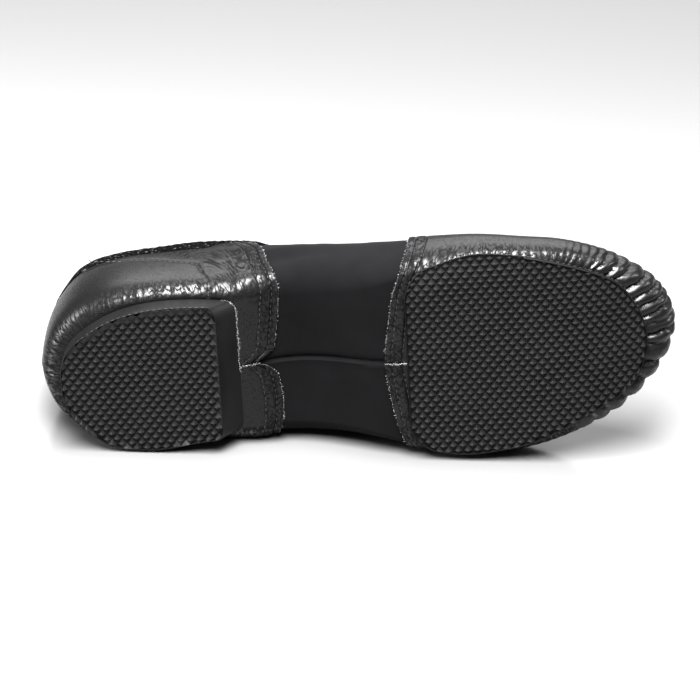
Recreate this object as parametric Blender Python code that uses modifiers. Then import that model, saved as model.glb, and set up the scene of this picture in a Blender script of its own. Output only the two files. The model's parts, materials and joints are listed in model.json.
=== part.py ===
"""A left jazz shoe with a split sole, soft leather over a stretch sock, lying on its outer side.

Shoe axes: X from the back of the heel to the toe, Y to the outer side of the foot, Z up from the ground plane of
the sole. An empty named shoe_pose then lays the whole shoe down. Metres throughout.
"""

import math

import bmesh
import bpy
import numpy as np
from mathutils import Matrix, Vector

# Sizes of the last
LENGTH = 0.249
BALL_WIDTH = 0.0915
HEEL_WIDTH = 0.072
COLLAR_HEIGHT = 0.0605
INSTEP_HEIGHT = 0.070
TOE_SPRING = 0.0095
ARCH_RISE = 0.0072

# Sizes of the pieces
PAD_LENGTH = 0.0695
PAD_THICKNESS = 0.0085
PAD_BREAST = 0.0078
PAD_CORNER = 0.009
PATCH_LENGTH = 0.0965
PATCH_THICKNESS = 0.002
PATCH_CORNER = 0.011
SOLE_INSET = 0.0005
LEATHER = 0.001
SOCK = 0.0015
INSOLE = 0.0012
BINDING_HEIGHT = 0.003
BINDING_PROUD = 0.0003
TURN_UNDER = 0.012
CORNER_TUCK = 0.002
INSOLE_CLEARANCE = 0.001
GAP = 0.0003

# How it lies: the lean of the sole off upright, and how far the floor presses the ball in
LEAN = math.radians(3.5)
BALL_PRESS = 0.0012
PRESS_SOFTNESS = 0.0004

# Places along the shoe, as shares of its length
HEEL_CENTRE = 0.135
TOE_CENTRE = 0.763
SPRING_START = 0.76
HEEL_BLEND = (0.25, 0.65)

# The widest line of the upper, seen from above: along as shares of the length, and inner and outer as shares
# of half the width there. The first and last rows are single points, inner being minus outer.
GIRTH = (
    # along, inner, outer
    (0.001, 0.000, 0.000),
    (0.012, 0.361, 0.347),
    (0.036, 0.611, 0.597),
    (0.072, 0.806, 0.792),
    (0.120, 0.931, 0.908),
    (0.185, 0.986, 0.958),
    (0.321, 0.972, 0.918),
    (0.422, 0.954, 0.873),
    (0.502, 0.936, 0.847),
    (0.590, 0.961, 0.886),
    (0.683, 1.010, 0.944),
    (0.763, 0.984, 0.903),
    (0.827, 0.938, 0.809),
    (0.888, 0.826, 0.667),
    (0.932, 0.686, 0.503),
    (0.968, 0.520, 0.302),
    (0.990, 0.339, 0.109),
    (1.000, 0.120, -0.120),
)

# The feather line, where the upper turns under the foot
FEATHER = (
    # along, inner, outer
    (0.0320, 0.000, 0.000),
    (0.0380, 0.250, 0.225),
    (0.0520, 0.431, 0.453),
    (0.0925, 0.675, 0.725),
    (0.1285, 0.803, 0.822),
    (0.1850, 0.881, 0.853),
    (0.2570, 0.880, 0.789),
    (0.3410, 0.791, 0.759),
    (0.4220, 0.720, 0.720),
    (0.5020, 0.749, 0.725),
    (0.5745, 0.848, 0.803),
    (0.6225, 0.901, 0.848),
    (0.6585, 0.960, 0.877),
    (0.6990, 0.984, 0.870),
    (0.7750, 0.929, 0.798),
    (0.8555, 0.809, 0.621),
    (0.9115, 0.660, 0.468),
    (0.9410, 0.457, 0.328),
    (0.9580, 0.240, 0.131),
    (0.9640, 0.010, -0.010),
)

# The topline round the opening
COLLAR = (
    # along, inner, outer
    (0.0185, 0.000, 0.000),
    (0.0225, 0.181, 0.181),
    (0.0380, 0.406, 0.389),
    (0.0710, 0.672, 0.639),
    (0.1190, 0.794, 0.764),
    (0.1850, 0.861, 0.819),
    (0.2610, 0.897, 0.833),
    (0.3415, 0.791, 0.724),
    (0.3935, 0.515, 0.476),
    (0.4300, 0.224, 0.212),
    (0.4420, 0.000, 0.000),
)

# Heights along the shoe: the widest level as a share of the instep height, and the top as shares of the
# collar height and of the instep height added together
HEIGHTS = (
    # along, level, collar, instep
    (0.000, 0.340, 1.030, 0.000),
    (0.120, 0.330, 1.000, 0.000),
    (0.220, 0.320, 0.975, 0.000),
    (0.320, 0.350, 0.820, 0.165),
    (0.394, 0.385, 0.300, 0.690),
    (0.442, 0.400, 0.000, 1.000),
    (0.502, 0.385, 0.000, 0.955),
    (0.590, 0.300, 0.000, 0.805),
    (0.683, 0.230, 0.000, 0.628),
    (0.763, 0.205, 0.000, 0.555),
    (0.880, 0.185, 0.000, 0.530),
    (1.000, 0.165, 0.000, 0.520),
)

# Where the leather ends, as shares of the length, from under the middle of the foot, at 0, up to the top, at 1
QUARTER_EDGE = (
    # climb, along
    (0.00, 0.350),
    (0.06, 0.371),
    (0.14, 0.378),
    (0.25, 0.371),
    (0.45, 0.359),
    (0.80, 0.339),
    (1.00, 0.333),
)
VAMP_EDGE = (
    # climb, along
    (0.00, 0.539),
    (0.09, 0.551),
    (0.16, 0.562),
    (0.33, 0.579),
    (0.60, 0.594),
    (1.00, 0.606),
)

# Steps of the mesh
HEEL_STEPS = 16
TOE_STEPS = 24
QUARTER_STEPS = 6
COLLAR_STEPS = 3
ARCH_STEPS = 4
VAMP_STEPS = 6
UNDER_SHARES = (0.0, 0.45, 0.84, 1.0)
WALL_STEPS = 4
FLANK_STEPS = 5
BINDING_STEPS = 3
PLATE_STEPS = 26
SPLINE_STEPS = 10


def clear_scene():
    for old in list(bpy.data.objects):
        bpy.data.objects.remove(old, do_unlink=True)


def smooth_step(low, high, value):
    share = min(max((value - low) / (high - low), 0.0), 1.0)
    return share * share * (3.0 - 2.0 * share)


def read_table(rows, column, at):
    """A smooth value between the rows of a table whose first column is the place."""
    places = [row[0] for row in rows]
    values = [row[column] for row in rows]
    at = min(max(at, places[0]), places[-1])
    k = min(max(int(np.searchsorted(places, at)) - 1, 0), len(rows) - 2)
    slopes = np.gradient(np.array(values), np.array(places))
    span = places[k + 1] - places[k]
    t = (at - places[k]) / span
    rise = values[k + 1] - values[k]
    near = (2 * t**3 - 3 * t**2 + 1) * values[k] + (t**3 - 2 * t**2 + t) * span * slopes[k]
    return near + (3 * t**2 - 2 * t**3) * (values[k] + rise) + (t**3 - t**2) * span * slopes[k + 1]


def half_width(x):
    """Half of the width that the outlines' shares are taken of."""
    blend = smooth_step(HEEL_BLEND[0] * LENGTH, HEEL_BLEND[1] * LENGTH, x)
    return 0.5 * (HEEL_WIDTH + (BALL_WIDTH - HEEL_WIDTH) * blend)


def closed_outline(rows):
    """A smooth closed line through a table of rows (along, inner, outer), as points on the ground plane."""
    outer = [(row[0] * LENGTH, row[2] * half_width(row[0] * LENGTH)) for row in rows]
    inner = [(row[0] * LENGTH, -row[1] * half_width(row[0] * LENGTH)) for row in rows[1:-1]]
    corners = np.array(outer + inner[::-1])
    points = []
    for k in range(len(corners)):
        before, start, end, after = (corners[(k + step) % len(corners)] for step in (-1, 0, 1, 2))
        for step in range(SPLINE_STEPS):
            t = step / SPLINE_STEPS
            points.append(
                0.5
                * (
                    2 * start
                    + (end - before) * t
                    + (2 * before - 5 * start + 4 * end - after) * t**2
                    + (3 * start - before - 3 * end + after) * t**3
                )
            )
    return np.array(points)


def reach(outline, origin, direction):
    """How far the outline lies from a point in a direction, or 0 where the ray misses it."""
    start = outline
    step = np.roll(outline, -1, axis=0) - outline
    offset = start - np.array(origin)
    cross = direction[0] * step[:, 1] - direction[1] * step[:, 0]
    cross = np.where(np.abs(cross) < 1e-12, 1e-12, cross)
    far = (offset[:, 0] * step[:, 1] - offset[:, 1] * step[:, 0]) / cross
    share = (offset[:, 0] * direction[1] - offset[:, 1] * direction[0]) / cross
    hit = (share >= 0.0) & (share <= 1.0) & (far > 0.0)
    return float(far[hit].max()) if hit.any() else 0.0


OUTLINES = {
    "girth": closed_outline(GIRTH),
    "feather": closed_outline(FEATHER),
    "collar": closed_outline(COLLAR),
}
HEEL_X = HEEL_CENTRE * LENGTH
TOE_X = TOE_CENTRE * LENGTH
THROAT_X = COLLAR[-1][0] * LENGTH
FEATHER_BACK = FEATHER[0][0] * LENGTH
FEATHER_TIP = FEATHER[-1][0] * LENGTH
PAD_BACK = FEATHER_BACK + SOLE_INSET
PAD_FRONT = PAD_BACK + PAD_LENGTH
PATCH_TIP = FEATHER_TIP - SOLE_INSET
PATCH_BACK = PATCH_TIP - PATCH_LENGTH


def ground(x):
    """The toe spring."""
    return TOE_SPRING * max((x - SPRING_START * LENGTH) / ((1.0 - SPRING_START) * LENGTH), 0.0) ** 2


def underside(x, y):
    """The height of the upper's outer skin under the foot."""
    over_pad = PAD_THICKNESS + GAP
    over_patch = PATCH_THICKNESS + GAP
    share = min(max((x - PAD_FRONT) / (PATCH_BACK - PAD_FRONT), 0.0), 1.0)
    level = over_pad + (over_patch - over_pad) * smooth_step(0.0, 1.0, share)
    outward = min(max(y / half_width(x), 0.0), 1.0)
    arch = ARCH_RISE * math.sin(math.pi * share**0.8) ** 2 * (1.0 - 0.6 * outward)
    return level + arch + ground(x)


def floor_slopes():
    """The floor as a plane in the shoe's own axes: outer reach at x = 0, its growth along X and up Z."""
    heel_edge = reach(OUTLINES["feather"], (HEEL_X, 0.0), (0.0, 1.0)) - SOLE_INSET
    ball_x = max(OUTLINES["girth"], key=lambda point: point[1])[0]
    ball_edge = max(point[1] for point in OUTLINES["girth"]) - BALL_PRESS
    along = (ball_edge - heel_edge) / (ball_x - HEEL_X)
    up = -math.tan(LEAN)
    touch = max(
        point[1] - SOLE_INSET - along * point[0] - up * PAD_THICKNESS
        for point in OUTLINES["feather"]
        if point[0] < PAD_FRONT
    )
    return touch, along, up


FLOOR = floor_slopes()


def floor_reach(x, z):
    """How far the floor lies to the outer side."""
    return FLOOR[0] + FLOOR[1] * x + FLOOR[2] * z


def pressed(point):
    """Keeps a point on the shoe's side of the floor, with a soft turn where it meets it."""
    over = (point[1] - floor_reach(point[0], point[2])) / PRESS_SOFTNESS
    eased = PRESS_SOFTNESS * (over if over > 30.0 else math.log1p(math.exp(over)))
    return Vector((point[0], point[1] - eased, point[2]))


def section(origin, direction):
    """The skin along one half plane, as rows of points from under the middle to the top."""
    turn_in = reach(OUTLINES["feather"], origin, direction) - CORNER_TUCK
    widest = reach(OUTLINES["girth"], origin, direction)
    opening = reach(OUTLINES["collar"], origin, direction)
    girth_x = origin[0] + direction[0] * widest
    height_x = min(girth_x, TOE_X) / LENGTH
    level = read_table(HEIGHTS, 1, girth_x / LENGTH) * INSTEP_HEIGHT + ground(girth_x)
    top = (
        read_table(HEIGHTS, 2, height_x) * COLLAR_HEIGHT
        + read_table(HEIGHTS, 3, height_x) * INSTEP_HEIGHT
        + ground(height_x * LENGTH)
    )

    def place(radius, height):
        return pressed((origin[0] + direction[0] * radius, origin[1] + direction[1] * radius, height))

    def below(radius):
        return underside(origin[0] + direction[0] * radius, direction[1] * radius)

    points = [place(share * turn_in, below(share * turn_in)) for share in UNDER_SHARES]
    for step in range(1, WALL_STEPS + 1):
        climb = step / WALL_STEPS
        radius = turn_in + (widest - turn_in) * (1.0 - (1.0 - climb) ** 2.5)
        points.append(place(radius, below(turn_in) + (level - below(turn_in)) * climb**1.6))
    lean_in = 1.2 + 0.8 * min(opening / (0.5 * HEEL_WIDTH * 0.6), 1.0)
    tape = math.asin(1.0 - BINDING_HEIGHT / (top - level))
    seam = math.asin(1.0 - (BINDING_HEIGHT + GAP) / (top - level))
    turns = [seam * step / FLANK_STEPS for step in range(1, FLANK_STEPS + 1)]
    turns += [tape + (0.5 * math.pi - tape) * step / BINDING_STEPS for step in range(BINDING_STEPS + 1)]
    for turn in turns:
        inward = max(math.cos(turn), 0.0) ** lean_in
        points.append(place(opening + (widest - opening) * inward, level + (top - level) * math.sin(turn)))
    return points


ROWS = len(UNDER_SHARES) + WALL_STEPS + FLANK_STEPS + BINDING_STEPS + 1
SEAM_ROW = ROWS - BINDING_STEPS - 2
TAPE_ROW = ROWS - BINDING_STEPS - 1
FEATHER_ROW = len(UNDER_SHARES) - 1


def side_places():
    """For each cross section between the two round ends, its place along the shoe at each row."""
    climbs = [row / (ROWS - 1) for row in range(ROWS)]
    quarter = [read_table(QUARTER_EDGE, 1, climb) * LENGTH for climb in climbs]
    vamp = [read_table(VAMP_EDGE, 1, climb) * LENGTH for climb in climbs]
    stops = (
        ([HEEL_X] * ROWS, quarter, QUARTER_STEPS),
        (quarter, [THROAT_X] * ROWS, COLLAR_STEPS),
        ([THROAT_X] * ROWS, [THROAT_X + BINDING_HEIGHT] * ROWS, 1),
        ([THROAT_X + BINDING_HEIGHT] * ROWS, vamp, ARCH_STEPS),
        (vamp, [TOE_X] * ROWS, VAMP_STEPS),
    )
    lines = []
    for start, end, steps in stops:
        for step in range(steps):
            share = step / steps
            lines.append([a + (b - a) * share for a, b in zip(start, end)])
    lines.append([TOE_X] * ROWS)
    return lines


def skin_grid():
    """The whole outer form as a ring of columns, from the heel's back along the outer side and round the toe."""
    sides = side_places()

    def side_column(places, outward):
        column = []
        for row, x in enumerate(places):
            column.append(section((x, 0.0), (0.0, outward))[row])
        return column

    def turned(centre, turn):
        return section((centre, 0.0), (math.cos(turn), math.sin(turn)))

    columns = [turned(HEEL_X, math.pi - 0.5 * math.pi * step / (HEEL_STEPS // 2)) for step in range(HEEL_STEPS // 2)]
    columns += [side_column(places, 1.0) for places in sides]
    columns += [turned(TOE_X, 0.5 * math.pi - math.pi * step / TOE_STEPS) for step in range(1, TOE_STEPS)]
    columns += [side_column(places, -1.0) for places in reversed(sides)]
    columns += [
        turned(HEEL_X, 1.5 * math.pi - 0.5 * math.pi * step / (HEEL_STEPS // 2)) for step in range(1, HEEL_STEPS // 2)
    ]
    return columns


def mesh_of(points, faces):
    """A mesh with its doubles merged and every face pointing out of the form."""
    mesh = bpy.data.meshes.new("form")
    mesh.from_pydata([tuple(point) for point in points], [], faces)
    work = bmesh.new()
    work.from_mesh(mesh)
    bmesh.ops.remove_doubles(work, verts=work.verts, dist=2e-5)
    bmesh.ops.dissolve_degenerate(work, dist=1e-6, edges=work.edges)
    work.to_mesh(mesh)
    work.free()
    mesh.update()
    return mesh


def grid_faces(columns, keep):
    """Faces between neighbouring columns, where keep(column, row) is true, split the same way in every layer."""
    count = len(columns)
    faces = []
    for column in range(count):
        following = (column + 1) % count
        for row in range(ROWS - 1):
            if keep(column, row):
                a = column * ROWS + row
                b = following * ROWS + row
                faces += [(a, a + 1, b + 1), (a, b + 1, b)]
    return faces


def skin_normals(columns):
    """The outward direction of the skin at each point of the grid."""
    points = [point for column in columns for point in column]
    mesh = mesh_of(points, grid_faces(columns, lambda column, row: True))
    work = bmesh.new()
    work.from_mesh(mesh)
    bmesh.ops.holes_fill(work, edges=work.edges)
    bmesh.ops.recalc_face_normals(work, faces=work.faces)
    caps = [face for face in work.faces if len(face.verts) > 3]
    bmesh.ops.delete(work, geom=caps, context="FACES_ONLY")
    work.normal_update()
    tree_points = np.array([vert.co[:] for vert in work.verts])
    tree_normals = np.array([vert.normal[:] for vert in work.verts])
    work.free()
    bpy.data.meshes.remove(mesh)
    normals = []
    for point in points:
        nearest = int(np.argmin(((tree_points - np.array(point)) ** 2).sum(axis=1)))
        normals.append(Vector(tree_normals[nearest]))
    return normals


def material(name, colour, roughness):
    made = bpy.data.materials.new(name)
    made.use_nodes = True
    shader = made.node_tree.nodes["Principled BSDF"]
    shader.inputs["Base Color"].default_value = (*colour, 1.0)
    shader.inputs["Roughness"].default_value = roughness
    shader.inputs["Metallic"].default_value = 0.0
    return made


def add_object(name, mesh, collection, finish, pose):
    made = bpy.data.objects.new(name, mesh)
    mesh.materials.append(finish)
    mesh.shade_smooth()
    mesh.set_sharp_from_angle(angle=math.radians(35.0))
    collection.objects.link(made)
    made.parent = pose
    return made


def add_shell(name, shape, keep, depth, wall, context):
    """A soft piece of the upper: part of the skin, sunk by a depth, with a wall inward."""
    columns, normals = shape
    points = [point for column in columns for point in column]
    sunk = [point - normal * depth for point, normal in zip(points, normals)]
    faces = grid_faces(columns, keep)
    mesh = mesh_of(sunk, faces)
    work = bmesh.new()
    work.from_mesh(mesh)
    loose = [vert for vert in work.verts if not vert.link_faces]
    bmesh.ops.delete(work, geom=loose, context="VERTS")
    work.to_mesh(mesh)
    work.free()
    made = add_object(name, mesh, *context)
    solidify = made.modifiers.new("wall", "SOLIDIFY")
    solidify.thickness = wall
    solidify.offset = -1.0
    return made


def cut_back(x, end, corner, width):
    """Half a width, rounded off over the corner in front of or behind a straight end."""
    near = min(abs(x - end) / corner, 1.0)
    return width - corner * (1.0 - math.sqrt(max(1.0 - (1.0 - near) ** 2, 0.0)))


def plate_mesh(back, front, widths, low, high, nose=0.0):
    """A flat piece under the foot: cross lines from back to front, between a low and a high surface.

    The low surface stops short of the front by the nose, which slopes the front face.
    """
    points = []
    faces = []
    for step in range(PLATE_STEPS + 1):
        share = 0.5 - 0.5 * math.cos(math.pi * step / PLATE_STEPS)
        x = back + (front - back) * share
        inner, outer = widths(x)
        low_x = min(x, x - nose * smooth_step(front - 2.0 * nose, front, x)) if nose else x
        for across in (-inner, 0.0, outer):
            points.append((low_x, across, low(low_x, across)))
        for across in (-inner, 0.0, outer):
            points.append((x, across, high(x, across)))
    for step in range(PLATE_STEPS):
        a = step * 6
        b = a + 6
        faces += [(a, a + 1, b + 1, b), (a + 1, a + 2, b + 2, b + 1)]
        faces += [(a + 3, b + 3, b + 4, a + 4), (a + 4, b + 4, b + 5, a + 5)]
        faces += [(a, b, b + 3, a + 3), (a + 2, a + 5, b + 5, b + 2)]
    last = PLATE_STEPS * 6
    faces += [(0, 3, 4, 1), (1, 4, 5, 2), (last, last + 1, last + 4, last + 3), (last + 1, last + 2, last + 5, last + 4)]
    return mesh_of(points, faces)


def feather_widths(x, inset):
    inner = reach(OUTLINES["feather"], (x, 0.0), (0.0, -1.0))
    outer = reach(OUTLINES["feather"], (x, 0.0), (0.0, 1.0))
    return max(inner - inset, 1e-4), max(outer - inset, 1e-4)


def add_heel_pad(context):
    def widths(x):
        return [cut_back(x, PAD_FRONT, PAD_CORNER, half) for half in feather_widths(x, SOLE_INSET)]

    mesh = plate_mesh(PAD_BACK, PAD_FRONT, widths, lambda x, y: 0.0, lambda x, y: PAD_THICKNESS, PAD_BREAST)
    pad = add_object("heel_pad", mesh, *context)
    return pad


def add_forefoot_patch(context):
    def widths(x):
        return [cut_back(x, PATCH_BACK, PATCH_CORNER, half) for half in feather_widths(x, SOLE_INSET)]

    mesh = plate_mesh(
        PATCH_BACK,
        PATCH_TIP,
        widths,
        lambda x, y: ground(x),
        lambda x, y: ground(x) + PATCH_THICKNESS,
    )
    return add_object("forefoot_patch", mesh, *context)


def add_insole(context):
    seat = LEATHER + GAP + SOCK + INSOLE_CLEARANCE
    inset = CORNER_TUCK + seat

    def widths(x):
        inner, outer = feather_widths(x, inset)
        inside = floor_reach(x, underside(x, outer) + seat + INSOLE) - seat - 2.0 * PRESS_SOFTNESS
        return inner, min(outer, inside)

    mesh = plate_mesh(
        FEATHER_BACK + inset,
        FEATHER_TIP - inset,
        widths,
        lambda x, y: underside(x, y) + seat,
        lambda x, y: underside(x, y) + seat + INSOLE,
    )
    return add_object("insole", mesh, *context)


def covered(points, back, front):
    """Whether a face of the underside lies well inside a sole piece."""
    return all(back + TURN_UNDER < point[0] < front - TURN_UNDER for point in points)


def add_upper_pieces(context_of):
    columns = skin_grid()
    normals = skin_normals(columns)
    shape = (columns, normals)
    count = len(columns)
    heel_half = HEEL_STEPS // 2
    quarter_end = heel_half + QUARTER_STEPS
    collar_end = quarter_end + COLLAR_STEPS
    band_end = collar_end + 1
    vamp_start = band_end + ARCH_STEPS

    def corners(column, row):
        following = (column + 1) % count
        return columns[column][row], columns[following][row], columns[following][row + 1], columns[column][row + 1]

    def under_hole(column, row):
        if row >= FEATHER_ROW - 1:
            return False
        points = corners(column, row)
        return covered(points, PAD_BACK, PAD_FRONT) or covered(points, PATCH_BACK, PATCH_TIP)

    def at_heel(column):
        return column < quarter_end or column >= count - quarter_end

    def at_collar(column):
        return column < band_end or column >= count - band_end

    def at_toe(column):
        return vamp_start <= column < count - vamp_start

    add_shell(
        "upper",
        shape,
        lambda column, row: not under_hole(column, row),
        LEATHER + GAP,
        SOCK,
        context_of("upper"),
    )
    add_shell(
        "quarter",
        shape,
        lambda column, row: at_heel(column) and row < SEAM_ROW and not under_hole(column, row),
        0.0,
        LEATHER,
        context_of("quarter"),
    )
    add_shell(
        "vamp",
        shape,
        lambda column, row: at_toe(column) and not under_hole(column, row),
        0.0,
        LEATHER,
        context_of("vamp"),
    )
    add_shell(
        "collar_binding",
        shape,
        lambda column, row: at_collar(column) and row >= TAPE_ROW,
        -BINDING_PROUD,
        LEATHER + BINDING_PROUD,
        context_of("collar_binding"),
    )


def lay_down(pose):
    """Turns the floor's plane level, with the toe to the right and the sole to the front, and centres the shoe."""
    down = Vector((-FLOOR[1], 1.0, -FLOOR[2])).normalized()
    right = (Vector((1.0, 0.0, 0.0)) - down * down.x).normalized()
    up = -down
    back = up.cross(right)
    turn = Matrix((right, back, up)).to_4x4()
    bpy.context.view_layer.update()
    graph = bpy.context.evaluated_depsgraph_get()
    corners = []
    for child in pose.children:
        shape = child.evaluated_get(graph)
        corners += [turn @ vert.co for vert in shape.data.vertices]
    low = Vector([min(corner[axis] for corner in corners) for axis in range(3)])
    high = Vector([max(corner[axis] for corner in corners) for axis in range(3)])
    shift = Vector((-0.5 * (low.x + high.x), -0.5 * (low.y + high.y), -low.z))
    pose.matrix_world = Matrix.Translation(shift) @ turn


def build_shoe():
    clear_scene()
    collection = bpy.data.collections.new("jazz_shoe")
    bpy.context.scene.collection.children.link(collection)
    pose = bpy.data.objects.new("shoe_pose", None)
    collection.objects.link(pose)
    finishes = {
        "upper": material("stretch_fabric", (0.012, 0.012, 0.013), 0.85),
        "quarter": material("soft_leather", (0.016, 0.016, 0.017), 0.42),
        "vamp": material("vamp_leather", (0.016, 0.016, 0.017), 0.42),
        "collar_binding": material("binding_tape", (0.010, 0.010, 0.011), 0.9),
        "heel_pad": material("sole_rubber", (0.022, 0.022, 0.022), 0.6),
        "forefoot_patch": material("patch_rubber", (0.022, 0.022, 0.022), 0.6),
        "insole": material("insole_lining", (0.03, 0.03, 0.03), 0.8),
    }

    def context_of(name):
        return collection, finishes[name], pose

    add_heel_pad(context_of("heel_pad"))
    add_forefoot_patch(context_of("forefoot_patch"))
    add_insole(context_of("insole"))
    add_upper_pieces(context_of)
    lay_down(pose)


build_shoe()
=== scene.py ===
"""The looks of a left jazz shoe with a split sole, lying on its outer side.

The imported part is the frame. Every piece here is made in the shoe's own axes, X from heel to toe, Y to the
outer side of the foot and Z up from the ground plane of the sole, and laid down with the frame. Metres
throughout.
"""

import contextlib
import json
import math

import bmesh
import bpy
import numpy as np
from mathutils import Matrix, Vector


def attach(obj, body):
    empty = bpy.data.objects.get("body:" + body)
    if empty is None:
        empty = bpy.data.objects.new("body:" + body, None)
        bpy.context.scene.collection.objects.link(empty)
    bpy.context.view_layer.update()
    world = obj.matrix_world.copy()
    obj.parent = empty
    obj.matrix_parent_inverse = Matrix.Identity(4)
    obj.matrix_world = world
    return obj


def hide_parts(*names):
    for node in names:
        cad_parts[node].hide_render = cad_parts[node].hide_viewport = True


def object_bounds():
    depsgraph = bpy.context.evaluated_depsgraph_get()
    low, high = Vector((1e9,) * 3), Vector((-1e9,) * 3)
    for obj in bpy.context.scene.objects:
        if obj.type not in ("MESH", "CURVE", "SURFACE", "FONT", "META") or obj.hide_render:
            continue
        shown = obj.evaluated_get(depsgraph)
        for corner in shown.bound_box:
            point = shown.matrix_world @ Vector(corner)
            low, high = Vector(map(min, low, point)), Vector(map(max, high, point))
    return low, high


MM = 0.001

# The last and the pieces, as in the part's source
LENGTH = 0.249
BALL_WIDTH = 0.0915
HEEL_WIDTH = 0.072
COLLAR_HEIGHT = 0.0605
INSTEP_HEIGHT = 0.070
TOE_SPRING = 0.0095
ARCH_RISE = 0.0072
PAD_LENGTH = 0.0695
PAD_THICKNESS = 0.0085
PAD_BREAST = 0.0078
PAD_CORNER = 0.009
PATCH_LENGTH = 0.0965
PATCH_THICKNESS = 0.002
PATCH_CORNER = 0.011
SOLE_INSET = 0.0005
LEATHER = 0.001
SOCK = 0.0015
INSOLE = 0.0012
BINDING_HEIGHT = 0.003
CORNER_TUCK = 0.002
INSOLE_CLEARANCE = 0.001
GAP = 0.0003
LEAN = math.radians(3.5)
BALL_PRESS = 0.0012
PRESS_SOFTNESS = 0.0004
HEEL_CENTRE = 0.135
TOE_CENTRE = 0.763
SPRING_START = 0.76
HEEL_BLEND = (0.25, 0.65)
HEEL_MOUNT = 0.038

GIRTH = (
    # along, inner, outer
    (0.001, 0.000, 0.000), (0.012, 0.361, 0.347), (0.036, 0.611, 0.597), (0.072, 0.806, 0.792),
    (0.120, 0.931, 0.908), (0.185, 0.986, 0.958), (0.321, 0.972, 0.918), (0.422, 0.954, 0.873),
    (0.502, 0.936, 0.847), (0.590, 0.961, 0.886), (0.683, 1.010, 0.944), (0.763, 0.984, 0.903),
    (0.827, 0.938, 0.809), (0.888, 0.826, 0.667), (0.932, 0.686, 0.503), (0.968, 0.520, 0.302),
    (0.990, 0.339, 0.109), (1.000, 0.120, -0.120),
)
FEATHER = (
    # along, inner, outer
    (0.0320, 0.000, 0.000), (0.0380, 0.250, 0.225), (0.0520, 0.431, 0.453), (0.0925, 0.675, 0.725),
    (0.1285, 0.803, 0.822), (0.1850, 0.881, 0.853), (0.2570, 0.880, 0.789), (0.3410, 0.791, 0.759),
    (0.4220, 0.720, 0.720), (0.5020, 0.749, 0.725), (0.5745, 0.848, 0.803), (0.6225, 0.901, 0.848),
    (0.6585, 0.960, 0.877), (0.6990, 0.984, 0.870), (0.7750, 0.929, 0.798), (0.8555, 0.809, 0.621),
    (0.9115, 0.660, 0.468), (0.9410, 0.457, 0.328), (0.9580, 0.240, 0.131), (0.9640, 0.010, -0.010),
)
COLLAR = (
    # along, inner, outer
    (0.0185, 0.000, 0.000), (0.0225, 0.181, 0.181), (0.0380, 0.406, 0.389), (0.0710, 0.672, 0.639),
    (0.1190, 0.794, 0.764), (0.1850, 0.861, 0.819), (0.2610, 0.897, 0.833), (0.3415, 0.791, 0.724),
    (0.3935, 0.515, 0.476), (0.4300, 0.224, 0.212), (0.4420, 0.000, 0.000),
)
HEIGHTS = (
    # along, level, collar, instep
    (0.000, 0.340, 1.030, 0.000), (0.120, 0.330, 1.000, 0.000), (0.220, 0.320, 0.975, 0.000),
    (0.320, 0.350, 0.820, 0.165), (0.394, 0.385, 0.300, 0.690), (0.442, 0.400, 0.000, 1.000),
    (0.502, 0.385, 0.000, 0.955), (0.590, 0.300, 0.000, 0.805), (0.683, 0.230, 0.000, 0.628),
    (0.763, 0.205, 0.000, 0.555), (0.880, 0.185, 0.000, 0.530), (1.000, 0.165, 0.000, 0.520),
)
QUARTER_EDGE = (
    # climb, along
    (0.000, 0.340), (0.006, 0.346), (0.018, 0.360), (0.066, 0.3725), (0.144, 0.3775),
    (0.218, 0.3800), (0.312, 0.3735), (0.420, 0.3655), (0.510, 0.3560), (0.692, 0.3365),
    (0.922, 0.3245), (1.000, 0.3210),
)
QUARTER_EDGE_OUT = (
    # climb, along
    (0.00, 0.340), (0.006, 0.352), (0.02, 0.366), (0.06, 0.375), (0.14, 0.376), (0.25, 0.370),
    (0.45, 0.359), (0.80, 0.339), (1.00, 0.333),
)
VAMP_EDGE = (
    # climb, along
    (0.00, 0.539), (0.09, 0.551), (0.16, 0.562), (0.33, 0.579), (0.60, 0.594), (1.00, 0.606),
)

# Places on the climb from under the middle of the foot, at 0, to the top, at 1
FEATHER_CLIMB = 3 / 16
GIRTH_CLIMB = 7 / 16
SEAM_CLIMB = 12 / 16
TAPE_CLIMB = 13 / 16
TAPE_START = 0.655
UNDER_SHARES = (0.0, 0.45, 0.84, 1.0)

# Columns stand closer at a cut edge: this share of the way takes this share of the steps
FINE_BAND = 0.17
FINE_STEPS = 0.34

# Leather relief
STITCH_ROWS = (0.0025, 0.0068)
QUARTER_GROOVES = (0.0005, 0.00025)
VAMP_GROOVES = (0.0003, 0.0003)
SEAM_GROOVE = 0.0007
COUNTER_LINE = (
    # climb, along
    (0.190, 0.2715), (0.278, 0.2730), (0.342, 0.2700), (0.398, 0.2640), (0.452, 0.2590),
    (0.498, 0.2480), (0.534, 0.2150), (0.568, 0.1820), (0.600, 0.1300), (0.620, 0.0800),
)
# Valleys between the gathers round the toe: place at the sole, place on the side, depth
GATHERS = (
    (69.0, 67.8, 0.15), (66.0, 64.8, 0.22), (63.5, 62.2, 0.25), (60.5, 59.0, 0.30),
    (57.5, 55.8, 0.30), (54.0, 52.3, 0.45), (50.8, 48.8, 0.80), (45.0, 43.5, 1.00),
    (39.9, 38.2, 1.10), (31.8, 30.5, 1.20), (25.5, 24.3, 1.00), (19.9, 19.6, 0.85),
    (14.5, 15.5, 1.00), (9.8, 10.0, 0.60), (4.5, 5.0, 1.30), (-0.8, -0.8, 0.90),
    (-9.8, -10.9, 1.20), (-18.0, -20.7, 1.10), (-29.1, -31.1, 1.10), (-37.5, -40.0, 0.80),
    (-45.5, -47.0, 0.60), (-54.0, -55.0, 0.20),
)
GATHER_CLIMBS = (0.20, 0.36)

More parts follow.
